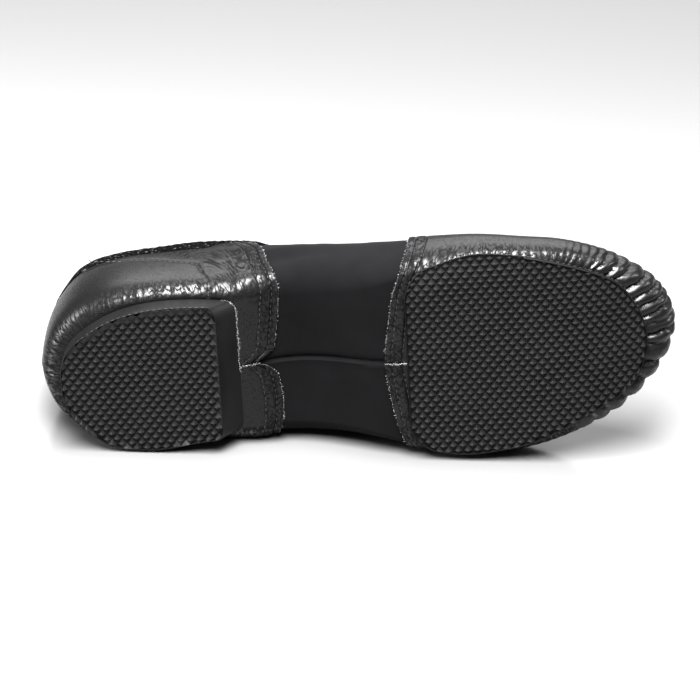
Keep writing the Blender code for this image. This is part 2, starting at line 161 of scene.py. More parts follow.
# Wrinkles on the quarter, in the plane that the camera sees: along the shoe and up its side
FLOW_CENTRE = (0.0813, 0.0390)
FLOW_LEFT = (-0.79, -0.61)
FLOW_BLEND = 0.003
GROOVE_SHADE = 0.0005
CRINKLE_BAND = 0.0085
SWELL = (0.095, 0.019, 0.52, 0.20, 0.0030)
BULGES = (
    # along, up, radius, height
    (0.0832, 0.0337, 0.0050, 0.0008),
    (0.0709, 0.0309, 0.0050, 0.0004),
)

# Threads and fibres
STITCH_PITCH = 0.0024
STITCH_LENGTH = 0.0017
THREAD = 0.00042

# Sole tread
TREAD_ALONG = 0.0038
TREAD_ACROSS = 0.00447
TREAD_DEPTH = 0.0013
TREAD_RIM = 0.0004

# The pad stands in a little on its inner side, and its tread fades out beside its edge
PAD_SHIFT = 0.0018
TREAD_FADE = 0.0040

# The patch turns up a little along its inner edge
EDGE_ROLL = 0.0016
ROLL_WIDTH = 0.011

# Camera, measured on the photograph
VIEW_TURN = math.radians(24.0)
VIEW_ROLL = math.radians(3.2)
VIEW_CENTRE = (0.1212, -0.00816, 0.0)
VIEW_WIDTH = 0.2710
LENS = 200.0
SENSOR = 36.0

AIM = Vector((0.0, 0.0, 0.04))
PANELS = (
    # name, place, width, depth, power
    ("main_panel", (-0.10, -0.35, 1.17), 0.6, 1.25, 110.0),
    ("right_panel", (0.95, 0.05, 0.6), 0.35, 0.5, 6.0),
    ("back_panel", (0.1, 1.2, 1.0), 1.4, 1.1, 13.0),
    ("left_panel", (-1.1, -0.15, 0.4), 0.5, 0.7, 16.0),
)

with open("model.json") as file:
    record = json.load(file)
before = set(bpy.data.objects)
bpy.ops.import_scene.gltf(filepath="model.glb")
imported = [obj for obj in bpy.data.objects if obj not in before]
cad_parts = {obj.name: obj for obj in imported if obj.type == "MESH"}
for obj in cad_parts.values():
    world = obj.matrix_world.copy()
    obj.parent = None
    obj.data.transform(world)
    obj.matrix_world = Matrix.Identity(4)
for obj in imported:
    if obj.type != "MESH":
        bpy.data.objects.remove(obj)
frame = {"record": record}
cad_low, cad_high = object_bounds()


def shoe_axes():
    """The matrix from the shoe's own axes to the frame, from the two flat sole mounts of the record."""
    mounts = {mount["name"]: mount for mount in frame["record"]["mounts"]}
    heel = Vector(mounts["heel_ground"]["pos_m"])
    ball = Vector(mounts["forefoot_ground"]["pos_m"])
    up = -Vector(mounts["heel_ground"]["axis"]).normalized()
    along = (ball - heel).normalized()
    outer = up.cross(along).normalized()
    along = outer.cross(up)
    turn = Matrix((along, outer, up)).transposed().to_4x4()
    return Matrix.Translation(heel - along * HEEL_MOUNT) @ turn


SHOE = shoe_axes()


def soft_step(low, high, value):
    share = np.clip((np.asarray(value, float) - low) / (high - low), 0.0, 1.0)
    return share * share * (3.0 - 2.0 * share)


def bell(distance, width):
    return np.exp(-((distance / width) ** 2))


def read_table(rows, column, at):
    """Smooth values between the rows of a table whose first column is the place."""
    places = np.array([row[0] for row in rows])
    values = np.array([row[column] for row in rows])
    at = np.clip(np.asarray(at, float), places[0], places[-1])
    k = np.clip(np.searchsorted(places, at) - 1, 0, len(rows) - 2)
    slopes = np.gradient(values, places)
    span = places[k + 1] - places[k]
    t = (at - places[k]) / span
    near = (2 * t**3 - 3 * t**2 + 1) * values[k] + (t**3 - 2 * t**2 + t) * span * slopes[k]
    return near + (3 * t**2 - 2 * t**3) * values[k + 1] + (t**3 - t**2) * span * slopes[k + 1]


def half_width(x):
    blend = soft_step(HEEL_BLEND[0] * LENGTH, HEEL_BLEND[1] * LENGTH, x)
    return 0.5 * (HEEL_WIDTH + (BALL_WIDTH - HEEL_WIDTH) * blend)


def closed_outline(rows, steps=10):
    """A smooth closed line through a table of rows (along, inner, outer)."""
    outer = [(row[0] * LENGTH, row[2] * half_width(row[0] * LENGTH)) for row in rows]
    inner = [(row[0] * LENGTH, -row[1] * half_width(row[0] * LENGTH)) for row in rows[1:-1]]
    corners = np.array(outer + inner[::-1])
    points = []
    for k in range(len(corners)):
        before, start, end, after = (corners[(k + step) % len(corners)] for step in (-1, 0, 1, 2))
        for step in range(steps):
            t = step / steps
            bend = (2 * before - 5 * start + 4 * end - after) * t**2
            turn = (3 * start - before - 3 * end + after) * t**3
            points.append(0.5 * (2 * start + (end - before) * t + bend + turn))
    return np.array(points)


def reach(outline, origin, direction):
    """How far the outline lies from a point in a direction, or 0 where the ray misses it."""
    step = np.roll(outline, -1, axis=0) - outline
    offset = outline - np.array(origin)
    cross = direction[0] * step[:, 1] - direction[1] * step[:, 0]
    cross = np.where(np.abs(cross) < 1e-12, 1e-12, cross)
    far = (offset[:, 0] * step[:, 1] - offset[:, 1] * step[:, 0]) / cross
    share = (offset[:, 0] * direction[1] - offset[:, 1] * direction[0]) / cross
    hit = (share >= 0.0) & (share <= 1.0) & (far > 0.0)
    return float(far[hit].max()) if hit.any() else 0.0


HEEL_X = HEEL_CENTRE * LENGTH
TOE_X = TOE_CENTRE * LENGTH
THROAT_X = COLLAR[-1][0] * LENGTH
FEATHER_BACK = FEATHER[0][0] * LENGTH
FEATHER_TIP = FEATHER[-1][0] * LENGTH
PAD_BACK = FEATHER_BACK + SOLE_INSET
PAD_FRONT = PAD_BACK + PAD_LENGTH
PATCH_TIP = FEATHER_TIP - SOLE_INSET
PATCH_BACK = PATCH_TIP - PATCH_LENGTH
OUTLINES = {
    name: closed_outline(rows) for name, rows in (("girth", GIRTH), ("feather", FEATHER), ("collar", COLLAR))
}
SIDE_PLACES = np.linspace(HEEL_X, TOE_X, 500)
HEEL_TURNS = np.linspace(0.5 * math.pi, 1.5 * math.pi, 361)
TOE_TURNS = np.linspace(-0.5 * math.pi, 0.5 * math.pi, 361)


def side_reach(outline, places, side):
    """How far an outline lies to one side of places along the shoe."""
    return np.array([reach(outline, (x, 0.0), (0.0, side)) for x in places])


def end_reach(outline, x, turns):
    return np.array([reach(outline, (x, 0.0), (math.cos(t), math.sin(t))) for t in turns])


def reach_tables(outline):
    """The reach of an outline to both sides along the shoe, and round both ends."""
    return {
        "outer": side_reach(outline, SIDE_PLACES, 1.0),
        "inner": side_reach(outline, SIDE_PLACES, -1.0),
        "heel": end_reach(outline, HEEL_X, HEEL_TURNS),
        "toe": end_reach(outline, TOE_X, TOE_TURNS),
    }


REACHES = {name: reach_tables(outline) for name, outline in OUTLINES.items()}


def reach_at(name, origin, turn):
    table = REACHES[name]
    lean = np.cos(turn)
    outer = np.interp(origin, SIDE_PLACES, table["outer"])
    side = np.where(np.sin(turn) > 0.0, outer, np.interp(origin, SIDE_PLACES, table["inner"]))
    heel = np.interp(np.mod(turn, 2.0 * math.pi), HEEL_TURNS, table["heel"])
    toe = np.interp(turn, TOE_TURNS, table["toe"])
    return np.where(lean < -1e-6, heel, np.where(lean > 1e-6, toe, side))


def ground(x):
    """The toe spring."""
    start = SPRING_START * LENGTH
    return TOE_SPRING * np.maximum((np.asarray(x) - start) / (LENGTH - start), 0.0) ** 2


def underside(x, y):
    """The height of the upper's outer skin under the foot."""
    over_pad = PAD_THICKNESS + GAP
    over_patch = PATCH_THICKNESS + GAP
    share = np.clip((x - PAD_FRONT) / (PATCH_BACK - PAD_FRONT), 0.0, 1.0)
    level = over_pad + (over_patch - over_pad) * soft_step(0.0, 1.0, share)
    outward = np.clip(y / half_width(x), 0.0, 1.0)
    arch = ARCH_RISE * np.sin(math.pi * share**0.8) ** 2 * (1.0 - 0.6 * outward)
    return level + arch + ground(x)


def floor_slopes():
    """The floor as a plane in the shoe's own axes: outer reach at x = 0, its growth along X and up Z."""
    heel_edge = reach(OUTLINES["feather"], (HEEL_X, 0.0), (0.0, 1.0)) - SOLE_INSET
    ball_x = max(OUTLINES["girth"], key=lambda point: point[1])[0]
    ball_edge = max(point[1] for point in OUTLINES["girth"]) - BALL_PRESS
    along = (ball_edge - heel_edge) / (ball_x - HEEL_X)
    up = -math.tan(LEAN)
    heel = [point for point in OUTLINES["feather"] if point[0] < PAD_FRONT]
    touch = max(point[1] - SOLE_INSET - along * point[0] - up * PAD_THICKNESS for point in heel)
    return touch, along, up


FLOOR = floor_slopes()


def floor_reach(x, z):
    return FLOOR[0] + FLOOR[1] * x + FLOOR[2] * z


def pressed(points, margin=0.0):
    """Keeps points on the shoe's side of the floor, with a soft turn where they meet it."""
    over = (points[..., 1] - floor_reach(points[..., 0], points[..., 2]) + margin) / PRESS_SOFTNESS
    eased = PRESS_SOFTNESS * np.where(over > 30.0, over, np.log1p(np.exp(np.minimum(over, 30.0))))
    moved = points.copy()
    moved[..., 1] -= eased
    return moved


def skin(origin, turn, climb):
    """Points on the outer skin: where the half plane starts, which way it points, and how far up it."""
    origin, turn, climb = np.broadcast_arrays(*(np.asarray(v, float) for v in (origin, turn, climb)))
    turn_in = reach_at("feather", origin, turn) - CORNER_TUCK
    widest = reach_at("girth", origin, turn)
    opening = reach_at("collar", origin, turn)
    opening = np.where((np.abs(np.cos(turn)) < 1e-6) & (origin > THROAT_X), 0.0, opening)
    lean = np.where(np.abs(np.cos(turn)) < 1e-6, 0.0, np.cos(turn))
    girth_x = origin + lean * widest
    height_x = np.minimum(girth_x, TOE_X)
    level = read_table(HEIGHTS, 1, girth_x / LENGTH) * INSTEP_HEIGHT + ground(girth_x)
    top = (
        read_table(HEIGHTS, 2, height_x / LENGTH) * COLLAR_HEIGHT
        + read_table(HEIGHTS, 3, height_x / LENGTH) * INSTEP_HEIGHT
        + ground(height_x)
    )
    row = climb * 16.0
    under = np.interp(row, (0.0, 1.0, 2.0, 3.0), UNDER_SHARES) * turn_in
    wall = np.clip((row - 3.0) / 4.0, 0.0, 1.0)
    wall_out = turn_in + (widest - turn_in) * (1.0 - (1.0 - wall) ** 2.5)
    corner = underside(origin + lean * turn_in, np.sin(turn) * turn_in)
    wall_up = corner + (level - corner) * wall**1.6
    tape = np.arcsin(1.0 - BINDING_HEIGHT / (top - level))
    seam = np.arcsin(1.0 - (BINDING_HEIGHT + GAP) / (top - level))
    flank = seam * np.clip((row - 7.0) / 5.0, 0.0, 1.0)
    flank += (tape - seam) * np.clip(row - 12.0, 0.0, 1.0)
    flank += (0.5 * math.pi - tape) * np.clip((row - 13.0) / 3.0, 0.0, 1.0)
    lean_in = 1.2 + 0.8 * np.minimum(opening / (0.5 * HEEL_WIDTH * 0.6), 1.0)
    inward = np.maximum(np.cos(flank), 0.0) ** lean_in
    flank_out = opening + (widest - opening) * inward
    flank_up = level + (top - level) * np.sin(flank)
    swell = SWELL[4] * bell(origin - SWELL[0], SWELL[1]) * bell(climb - SWELL[2], SWELL[3])
    flank_out = flank_out + swell * (np.sin(turn) < 0.0) * soft_step(7.0, 8.0, row)
    radius = np.where(row <= 3.0, under, np.where(row <= 7.0, wall_out, flank_out))
    height = np.where(row <= 3.0, underside(origin + lean * under, np.sin(turn) * under), wall_up)
    height = np.where(row <= 7.0, height, flank_up)
    points = np.stack([origin + lean * radius, np.sin(turn) * radius, height], axis=-1)
    return pressed(points)


def skin_normals(origin, turn, climb):
    """Directions out of the skin at the same places."""
    origin, turn, climb = np.broadcast_arrays(*(np.asarray(v, float) for v in (origin, turn, climb)))
    beside = np.abs(np.cos(turn)) < 1e-6
    above = skin(origin, turn, np.clip(climb + 0.004, 0.0, 1.0))
    up = above - skin(origin, turn, np.clip(climb - 0.004, 0.0, 1.0))
    along = np.where(beside, 0.0008 * np.sign(np.sin(turn)), 0.0)
    swing = np.where(beside, 0.0, 0.01)
    out = np.cross(up, skin(origin + along, turn - swing, climb) - skin(origin - along, turn + swing, climb))
    size = np.linalg.norm(out, axis=-1, keepdims=True)
    flat = np.zeros_like(out)
    flat[..., 2] = np.where(climb < 0.5, -1.0, 1.0)
    return np.where(size > 1e-12, out / np.maximum(size, 1e-12), flat)


def line_of(table):
    """A line on the skin from its table: its place along at every climb."""

    def place(climb):
        return read_table(table, 1, climb) * LENGTH

    return place


quarter_edge = line_of(QUARTER_EDGE)
quarter_edge_out = line_of(QUARTER_EDGE_OUT)
vamp_edge = line_of(VAMP_EDGE)
counter_line = line_of(COUNTER_LINE)


def behind_quarter(points, climb):
    """How far behind the quarter's cut edge a point lies."""
    return np.where(points[..., 1] > 0.0, quarter_edge_out(climb), quarter_edge(climb)) - points[..., 0]


def behind_vamp(points, climb):
    return points[..., 0] - vamp_edge(climb)


def side_columns(start, end, steps, side, climbs):
    """Columns along one side. Start and end are a place or a line, and steps are finer at a line."""
    shares = np.linspace(0.0, 1.0, steps + 1)
    if callable(start):
        shares = np.interp(shares, (0.0, FINE_STEPS, 1.0), (0.0, FINE_BAND, 1.0))
    elif callable(end):
        shares = np.interp(shares, (0.0, 1.0 - FINE_STEPS, 1.0), (0.0, 1.0 - FINE_BAND, 1.0))
    first, last = (edge(climbs) if callable(edge) else np.full(len(climbs), edge) for edge in (start, end))
    turn = np.full(len(climbs), side * 0.5 * math.pi)
    return [(first + (last - first) * share, turn) for share in shares]


def end_columns(centre, first, last, steps, climbs):
    """Columns round the heel or the toe."""
    turns = np.linspace(first, last, steps + 1)
    return [(np.full(len(climbs), centre), np.full(len(climbs), turn)) for turn in turns]


def heel_ring(edge, outer_edge, side_steps, heel_steps, climbs):
    """From the edge on the inner side round the heel to the edge on the outer side."""
    inner = side_columns(edge, HEEL_X, side_steps, -1.0, climbs)
    heel = end_columns(HEEL_X, 1.5 * math.pi, 0.5 * math.pi, heel_steps, climbs)
    return inner[:-1] + heel + side_columns(HEEL_X, outer_edge, side_steps, 1.0, climbs)[1:]


def toe_ring(edge, side_steps, toe_steps, climbs):
    """From the edge on the outer side round the toe to the edge on the inner side."""
    outer = side_columns(edge, TOE_X, side_steps, 1.0, climbs)
    toe = end_columns(TOE_X, 0.5 * math.pi, -0.5 * math.pi, toe_steps, climbs)
    return outer[:-1] + toe + side_columns(TOE_X, edge, side_steps, -1.0, climbs)[1:]


def climbs_in(bands):
    """Climbs with the given number of steps in each band, bands being (from, to, steps)."""
    parts = [np.linspace(low, high, steps + 1)[:-1] for low, high, steps in bands]
    return np.concatenate(parts + [[bands[-1][1]]])


def girth_round(points):
    """How far round the toe a point lies, from the tip, in metres: to the inner side above 0."""
    outward = points[..., 1]
    ahead = points[..., 0] - TOE_X
    turn = np.arctan2(outward, np.maximum(ahead, 1e-9))
    arc = np.interp(-turn, -TOE_TURNS[::-1], TOE_ARC)
    beside = np.where(outward < 0.0, TOE_ARC[-1] - ahead, TOE_ARC[0] + ahead)
    return np.where(ahead > 0.0, arc, beside)


def run_along(line):
    """How far along a line each of its points lies."""
    return np.concatenate([[0.0], np.cumsum(np.linalg.norm(np.diff(line, axis=0), axis=1))])


def toe_arc():
    """Arc length of the girth line round the toe, from the outer to the inner side, 0 at the tip."""
    far = REACHES["girth"]["toe"][::-1]
    turns = TOE_TURNS[::-1]
    lengths = run_along(np.stack([far * np.cos(turns), far * np.sin(turns)], axis=-1))
    return lengths - np.interp(0.0, -turns, lengths)


TOE_ARC = toe_arc()


def waves(seed, values, pitch, count=5):
    """A smooth uneven wave in the values, about 1 high, the same on every run."""
    chance = np.random.default_rng(seed)
    total = np.zeros_like(values)
    for _ in range(count):
        length = pitch * chance.uniform(0.6, 1.7)
        total += np.sin(2.0 * math.pi * values / length + chance.uniform(0.0, 6.3))
    return total / math.sqrt(count)


def edge_relief(behind, grooves):
    """The cut edge of a leather panel: stitched rows pull it down, and it swells between them."""
    relief = 0.00015 * bell(np.abs(behind) - 0.5 * sum(STITCH_ROWS), 0.0014)
    for row, groove in zip(STITCH_ROWS, grooves):
        relief -= groove * bell(np.abs(behind) - row, 0.0004)
    return relief


def gathered_band(climb, low, high):
    """Next to the sole's edge, where the leather is drawn in."""
    return soft_step(*low, climb) * (1.0 - soft_step(*high, climb))


def side_view(points):
    """Points of both sides as the camera sees the inner one: along the shoe, and up its side."""
    up = (np.abs(points[..., 1]) - 0.0025) * math.cos(VIEW_TURN) + points[..., 2] * math.sin(VIEW_TURN)
    return np.stack([points[..., 0], up], axis=-1)


def centre_seam(points, climb):
    """The seam under the foot and up the back of the heel."""
    under = bell(points[..., 1], 0.0006) * (climb < FEATHER_CLIMB)
    back = bell(points[..., 1], 0.0005) * (climb >= FEATHER_CLIMB) * (points[..., 0] < HEEL_X)
    fold = bell(points[..., 1] + 0.0011, 0.0008) * (points[..., 0] < HEEL_X)
    return -SEAM_GROOVE * (under + 0.8 * back) + 0.00035 * fold * (climb >= FEATHER_CLIMB)


def counter_mark(points, climb):
    """The counter's stitched line, narrow where it runs up and as narrow where it runs along."""
    slope = np.abs(counter_line(climb + 0.004) - counter_line(climb - 0.004))
    width = 0.0005 * np.sqrt(1.0 + (slope / 0.0005) ** 2)
    return bell(points[..., 0] - counter_line(climb), width) * (climb > 0.19) * (climb < 0.62)


def quarter_relief(points, climb):
    relief = edge_relief(behind_quarter(points, climb), QUARTER_GROOVES) + centre_seam(points, climb)
    relief -= 0.0005 * counter_mark(points, climb)
    band = gathered_band(climb, (FEATHER_CLIMB, FEATHER_CLIMB + 0.03), (0.28, 0.36))
    relief += 0.00010 * band * waves(3, np.arctan2(points[..., 1], points[..., 0] - HEEL_X) * 0.034, 0.0022)
    seen = side_view(points)
    for at, up, radius, height in BULGES:
        bulge = bell(np.hypot(seen[..., 0] - at, seen[..., 1] - up), radius)
        relief += height * bulge * (climb > FEATHER_CLIMB)
    return relief


def pleats(points, climb):
    """Gathers round the toe: soft puffs with sharp valleys, drawn in at the sole and gone on top."""
    place = girth_round(points) + 0.0003 * waves(5, girth_round(points) + 0.08 * climb, 0.009, 3)
    share = np.clip((climb - GATHER_CLIMBS[0]) / (GATHER_CLIMBS[1] - GATHER_CLIMBS[0]), -0.2, 1.6)
    relief = np.zeros_like(place)
    for first, second in zip(GATHERS, GATHERS[1:]):
        start = MM * (first[0] + (first[1] - first[0]) * share)
        end = MM * (second[0] + (second[1] - second[0]) * share)
        part = (place - end) / (start - end)
        inside = (part >= 0.0) & (part < 1.0)
        puff = np.sin(math.pi * np.clip(part, 0.0, 1.0)) ** 0.75
        depth = MM * (second[2] + (first[2] - second[2]) * np.clip(part, 0.0, 1.0))
        relief += np.where(inside, 1.6 * depth * (puff - 0.8), 0.0)
    fade = soft_step(0.12, 0.19, climb) * (1.0 - soft_step(0.36, 0.58, climb))
    return relief * fade


def vamp_relief(points, climb):
    relief = edge_relief(behind_vamp(points, climb), VAMP_GROOVES) + centre_seam(points, climb)
    band = gathered_band(climb, (FEATHER_CLIMB, FEATHER_CLIMB + 0.03), (0.28, 0.36))
    return relief + pleats(points, climb) + 0.00008 * band * waves(4, girth_round(points), 0.0024)


def sock_relief(points, climb):
    arch = (points[..., 0] > quarter_edge(climb) - 0.004) & (points[..., 0] < vamp_edge(climb) + 0.004)
    groove = -0.0009 * bell(points[..., 1], 0.0006) + 0.00035 * bell(points[..., 1] - 0.0016, 0.001)
    relief = groove * (climb < FEATHER_CLIMB) * arch
    return relief + 0.0001 * arch * waves(9, points[..., 0] + 0.4 * points[..., 2], 0.014)


def tape_relief(points, climb):
    return 0.0001 * waves(11, points[..., 0] + points[..., 1], 0.004) + 0.0004 * bell(climb - 0.78, 0.1)


def mesh_from(points, faces, edges=()):
    mesh = bpy.data.meshes.new("form")
    mesh.from_pydata(np.asarray(points, float).tolist(), list(edges), np.asarray(faces).tolist())
    return mesh


@contextlib.contextmanager
def edited(mesh):
    """A mesh opened for editing, and written back at the end."""
    work = bmesh.new()
    work.from_mesh(mesh)
    yield work
    work.to_mesh(mesh)
    work.free()


def add_object(name, data):
    made = bpy.data.objects.new(name, data)
    bpy.context.scene.collection.objects.link(made)
    return made


def lay_down(points):
    """Points in the shoe's own axes, in the frame."""
    turn = np.array(SHOE.to_3x3())
    return points @ turn.T + np.array(SHOE.translation)


def grid_faces(columns, rows, closed):
    """Quads between neighbouring columns of a grid, pointing out of the skin."""
    first = np.arange(columns if closed else columns - 1)
    a = first[:, None] * rows + np.arange(rows - 1)[None, :]
    b = ((first + 1) % columns)[:, None] * rows + np.arange(rows - 1)[None, :]
    return np.stack([a, a + 1, b + 1, b], axis=-1).reshape(-1, 4)


def finish_piece(name, mesh, finish, smooth_angle=50.0):
    """Links a mesh as a piece of the shoe, merged, smooth and with its material."""
    with edited(mesh) as work:
        bmesh.ops.remove_doubles(work, verts=work.verts, dist=1e-6)
        bmesh.ops.dissolve_degenerate(work, dist=1e-7, edges=work.edges)
    for material in finish if isinstance(finish, tuple) else (finish,):
        mesh.materials.append(material)
    mesh.shade_smooth()
    mesh.set_sharp_from_angle(angle=math.radians(smooth_angle))
    mesh.name = name
    piece = add_object(name, mesh)
    return piece


def skin_piece(name, columns, climbs, relief, sink, wall, finish, slot, closed=False, marks=None):
    """A soft panel: columns on the skin with relief, and a wall inward. marks gives its masks by name."""
    origin = np.array([column[0] for column in columns])
    turn = np.array([column[1] for column in columns])
    climb = np.array([column[2] if len(column) > 2 else climbs for column in columns])
    base = skin(origin, turn, climb)
    points = base + skin_normals(origin, turn, climb) * (relief(base, climb) - sink)[..., None]
    points = pressed(points, -0.0002)
    count, rows = origin.shape
    mesh = mesh_from(lay_down(points.reshape(-1, 3)), grid_faces(count, rows, closed))
    around = np.broadcast_to(run_along(base[:, rows // 2])[:, None], climb.shape)
    up = np.broadcast_to(run_along(base[count // 2]), climb.shape)
    add_values(mesh, "pattern", np.stack([around, up], axis=-1))
    for mark, values in (marks(base, climb) if marks else {}).items():
        add_values(mesh, mark, values)
    piece = finish_piece(name, mesh, finish)
    shell = piece.modifiers.new("wall", "SOLIDIFY")
    shell.thickness = wall
    shell.offset = -1.0
    shell.use_rim = True
    if isinstance(finish, tuple):
        shell.material_offset_rim = 1
    return piece


def add_values(mesh, name, values):
    """Stores one number, or two, for each point of a mesh from a grid of columns and rows."""
    kind, key = ("FLOAT2", "vector") if values.ndim == 3 else ("FLOAT", "value")
    made = mesh.attributes.new(name, kind, "POINT")
    made.data.foreach_set(key, np.ascontiguousarray(values, np.float32).ravel())


def fill(tree, made, key, value):
    """Links or sets one input of a node."""
    if isinstance(value, bpy.types.NodeSocket):
        tree.links.new(value, made.inputs[key])
    else:
        made.inputs[key].default_value = value


def node(tree, kind, values=(), **settings):
    """A node with its settings and inputs. An input given a socket is linked to it."""
    made = tree.nodes.new(kind)
    for key, value in settings.items():
        setattr(made, key, value)
    for key, value in dict(values).items():
        fill(tree, made, key, value)
    return made


def out(tree, kind, values=(), **settings):
    """The first output of a new node."""
    return node(tree, kind, values, **settings).outputs[0]


def add_sockets(tree, way, sockets):
    """Named sockets on a group, from (name, kind, value)."""
    for name, kind, value in sockets:
        made = tree.interface.new_socket(name, in_out=way, socket_type="NodeSocket" + kind)
        if value is not None:
            made.default_value = value


def group_of(name, kind, inputs, outputs):
    """An empty node group with its sockets, and its two end nodes."""
    group = bpy.data.node_groups.new(name, kind + "NodeTree")
    add_sockets(group, "INPUT", inputs)
    add_sockets(group, "OUTPUT", outputs)
    return group, group.nodes.new("NodeGroupInput").outputs, group.nodes.new("NodeGroupOutput").inputs


def math_node(tree, operation, first, second=0.0, clamp=False):
    return out(tree, "ShaderNodeMath", {0: first, 1: second}, operation=operation, use_clamp=clamp)


def noise(tree, vector, scale, detail):
    return out(tree, "ShaderNodeTexNoise", {"Vector": vector, "Scale": scale, "Detail": detail})


def mapped(tree, value, low, high, start=0.0, end=1.0, way="LINEAR"):
    """A value taken from one range to another."""
    values = {"Value": value, 1: low, 2: high, 3: start, 4: end}
    return out(tree, "ShaderNodeMapRange", values, interpolation_type=way)


def grain_group():
    """Leather grain: fine closed cells, broken up by soft pores, with creases where the skin is slack."""
    inputs = (("Vector", "Vector", None), ("Cells per Metre", "Float", 1500.0), ("Crease", "Float", 0.0))
    outputs = (("Height", "Float", None), ("Tone", "Float", None))
    group, entry, leave = group_of("leather_grain", "Shader", inputs, outputs)
    warp = node(group, "ShaderNodeTexNoise", {"Vector": entry["Vector"], "Scale": 420.0, "Detail": 2.0})
    middle = {0: warp.outputs["Color"], 1: (0.5, 0.5, 0.5)}
    bent = out(group, "ShaderNodeVectorMath", middle, operation="SUBTRACT")
    shift = out(group, "ShaderNodeVectorMath", {0: bent, "Scale": 0.0012}, operation="SCALE")
    place = out(group, "ShaderNodeVectorMath", {0: entry["Vector"], 1: shift}, operation="ADD")
    values = {"Vector": place, "Scale": entry["Cells per Metre"]}
    cells = out(group, "ShaderNodeTexVoronoi", values, feature="DISTANCE_TO_EDGE")
    pebble = mapped(group, cells, 0.0, 0.22, way="SMOOTHSTEP")
    slack = math_node(group, "ABSOLUTE", math_node(group, "SUBTRACT", noise(group, place, 260.0, 3.0), 0.5))
    creased = math_node(group, "MULTIPLY", math_node(group, "MULTIPLY", slack, 4.0), entry["Crease"])
    group.links.new(math_node(group, "ADD", pebble, creased), leave["Height"])
    group.links.new(noise(group, entry["Vector"], 55.0, 3.0), leave["Tone"])
    return group


def knit_group():
    """Fine stretch fabric: tiny loops in rows, with a faint uneven pile."""
    inputs = (("Vector", "Vector", None), ("Loops per Metre", "Float", 2200.0))
    outputs = (("Height", "Float", None), ("Tone", "Float", None))
    group, entry, leave = group_of("fine_knit", "Shader", inputs, outputs)
    loops = noise(group, entry["Vector"], entry["Loops per Metre"], 2.0)
    pile = math_node(group, "MULTIPLY", noise(group, entry["Vector"], 300.0, 4.0), 0.7)
    group.links.new(math_node(group, "ADD", loops, pile), leave["Height"])
    group.links.new(noise(group, entry["Vector"], 90.0, 4.0), leave["Tone"])
    return group


GRAIN = grain_group()
KNIT = knit_group()


def new_material(name, roughness, specular):
    """A plain material, its tree and shader, and the object's coordinates."""
    material = bpy.data.materials.new(name)
    material.use_nodes = True
    tree = material.node_tree
    shader = tree.nodes["Principled BSDF"]
    shader.inputs["Metallic"].default_value = 0.0
    shader.inputs["Roughness"].default_value = roughness
    shader.inputs["Specular IOR Level"].default_value = specular
    return material, tree, shader, node(tree, "ShaderNodeTexCoord").outputs["Object"]


def cover(tree, shader, tone, dark, light, height, strength, distance):
    """Colour between two near greys by a mask, and a bump from a height."""
    ramp = node(tree, "ShaderNodeMix", {0: tone, 6: (*dark, 1.0), 7: (*light, 1.0)}, data_type="RGBA")
    tree.links.new(ramp.outputs[2], shader.inputs["Base Color"])
    bump = out(tree, "ShaderNodeBump", {"Height": height, "Strength": strength, "Distance": distance})
    tree.links.new(bump, shader.inputs["Normal"])


def attribute(tree, name):
    return node(tree, "ShaderNodeAttribute", attribute_name=name).outputs


def ridged(tree, vector, scale, detail, width):
    """Sharp-edged folds from noise: 1 on a fold's crest, 0 beside it."""
    off = math_node(tree, "ABSOLUTE", math_node(tree, "SUBTRACT", noise(tree, vector, scale, detail), 0.5))
    return mapped(tree, off, 0.0, width, way="SMOOTHSTEP")


def leather_material(name, wrinkle, pull):
    """Thin black leather: grain all over, wrinkles and gathers where the marks say so. Heights are in mm."""
    material, tree, shader, place = new_material(name, 0.3, 0.13)
    slack = attribute(tree, "slack")["Fac"]
    values = {"Vector": place, "Cells per Metre": 1100.0, "Crease": slack}
    grain = node(tree, "ShaderNodeGroup", node_tree=GRAIN)
    for key, value in values.items():
        fill(tree, grain, key, value)
    drawn = {"Vector": attribute(tree, "flow")["Vector"], "Scale": (1000.0, 170.0, 1.0)}
    folds = ridged(tree, out(tree, "ShaderNodeMapping", drawn), 1.0, 3.0, 0.15)
    patchy = mapped(tree, noise(tree, place, 110.0, 2.0), 0.38, 0.6, 0.25, 1.0)
    stretched = {"Vector": attribute(tree, "pattern")["Vector"], "Scale": (520.0, 170.0, 1.0)}
    streaks = ridged(tree, out(tree, "ShaderNodeMapping", stretched), 1.0, 2.0, 0.16)
    crumpled = ridged(tree, place, 380.0, 2.0, 0.14)
    height = shade = 0.0
    for fold, size, mark in (
        (grain.outputs["Height"], 0.05, 0.7),
        (folds, wrinkle, math_node(tree, "MULTIPLY", slack, patchy)),
        (streaks, pull, attribute(tree, "gather")["Fac"]),
        (crumpled, 0.085, attribute(tree, "crinkle")["Fac"]),
    ):
        part = math_node(tree, "MULTIPLY", math_node(tree, "MULTIPLY", fold, size), mark)
        height = math_node(tree, "ADD", height, part)
        hollow = math_node(tree, "MULTIPLY", math_node(tree, "SUBTRACT", 1.0, fold), mark)
        shade = math_node(tree, "MAXIMUM", shade, hollow)
    groove = attribute(tree, "groove")["Fac"]
    height = math_node(tree, "SUBTRACT", height, math_node(tree, "MULTIPLY", groove, 0.3))
    shade = math_node(tree, "MAXIMUM", shade, groove, clamp=True)
    dark, light = (0.002, 0.002, 0.0022), (0.006, 0.006, 0.0064)
    cover(tree, shader, grain.outputs["Tone"], dark, light, height, 1.0, MM)
    tree.links.new(mapped(tree, shade, 0.3, 1.0, 0.9, 0.0), shader.inputs["Coat Weight"])
    tree.links.new(mapped(tree, shade, 0.2, 0.9, 0.33, 0.7), shader.inputs["Roughness"])
    shader.inputs["Coat Roughness"].default_value = 0.31
    return material


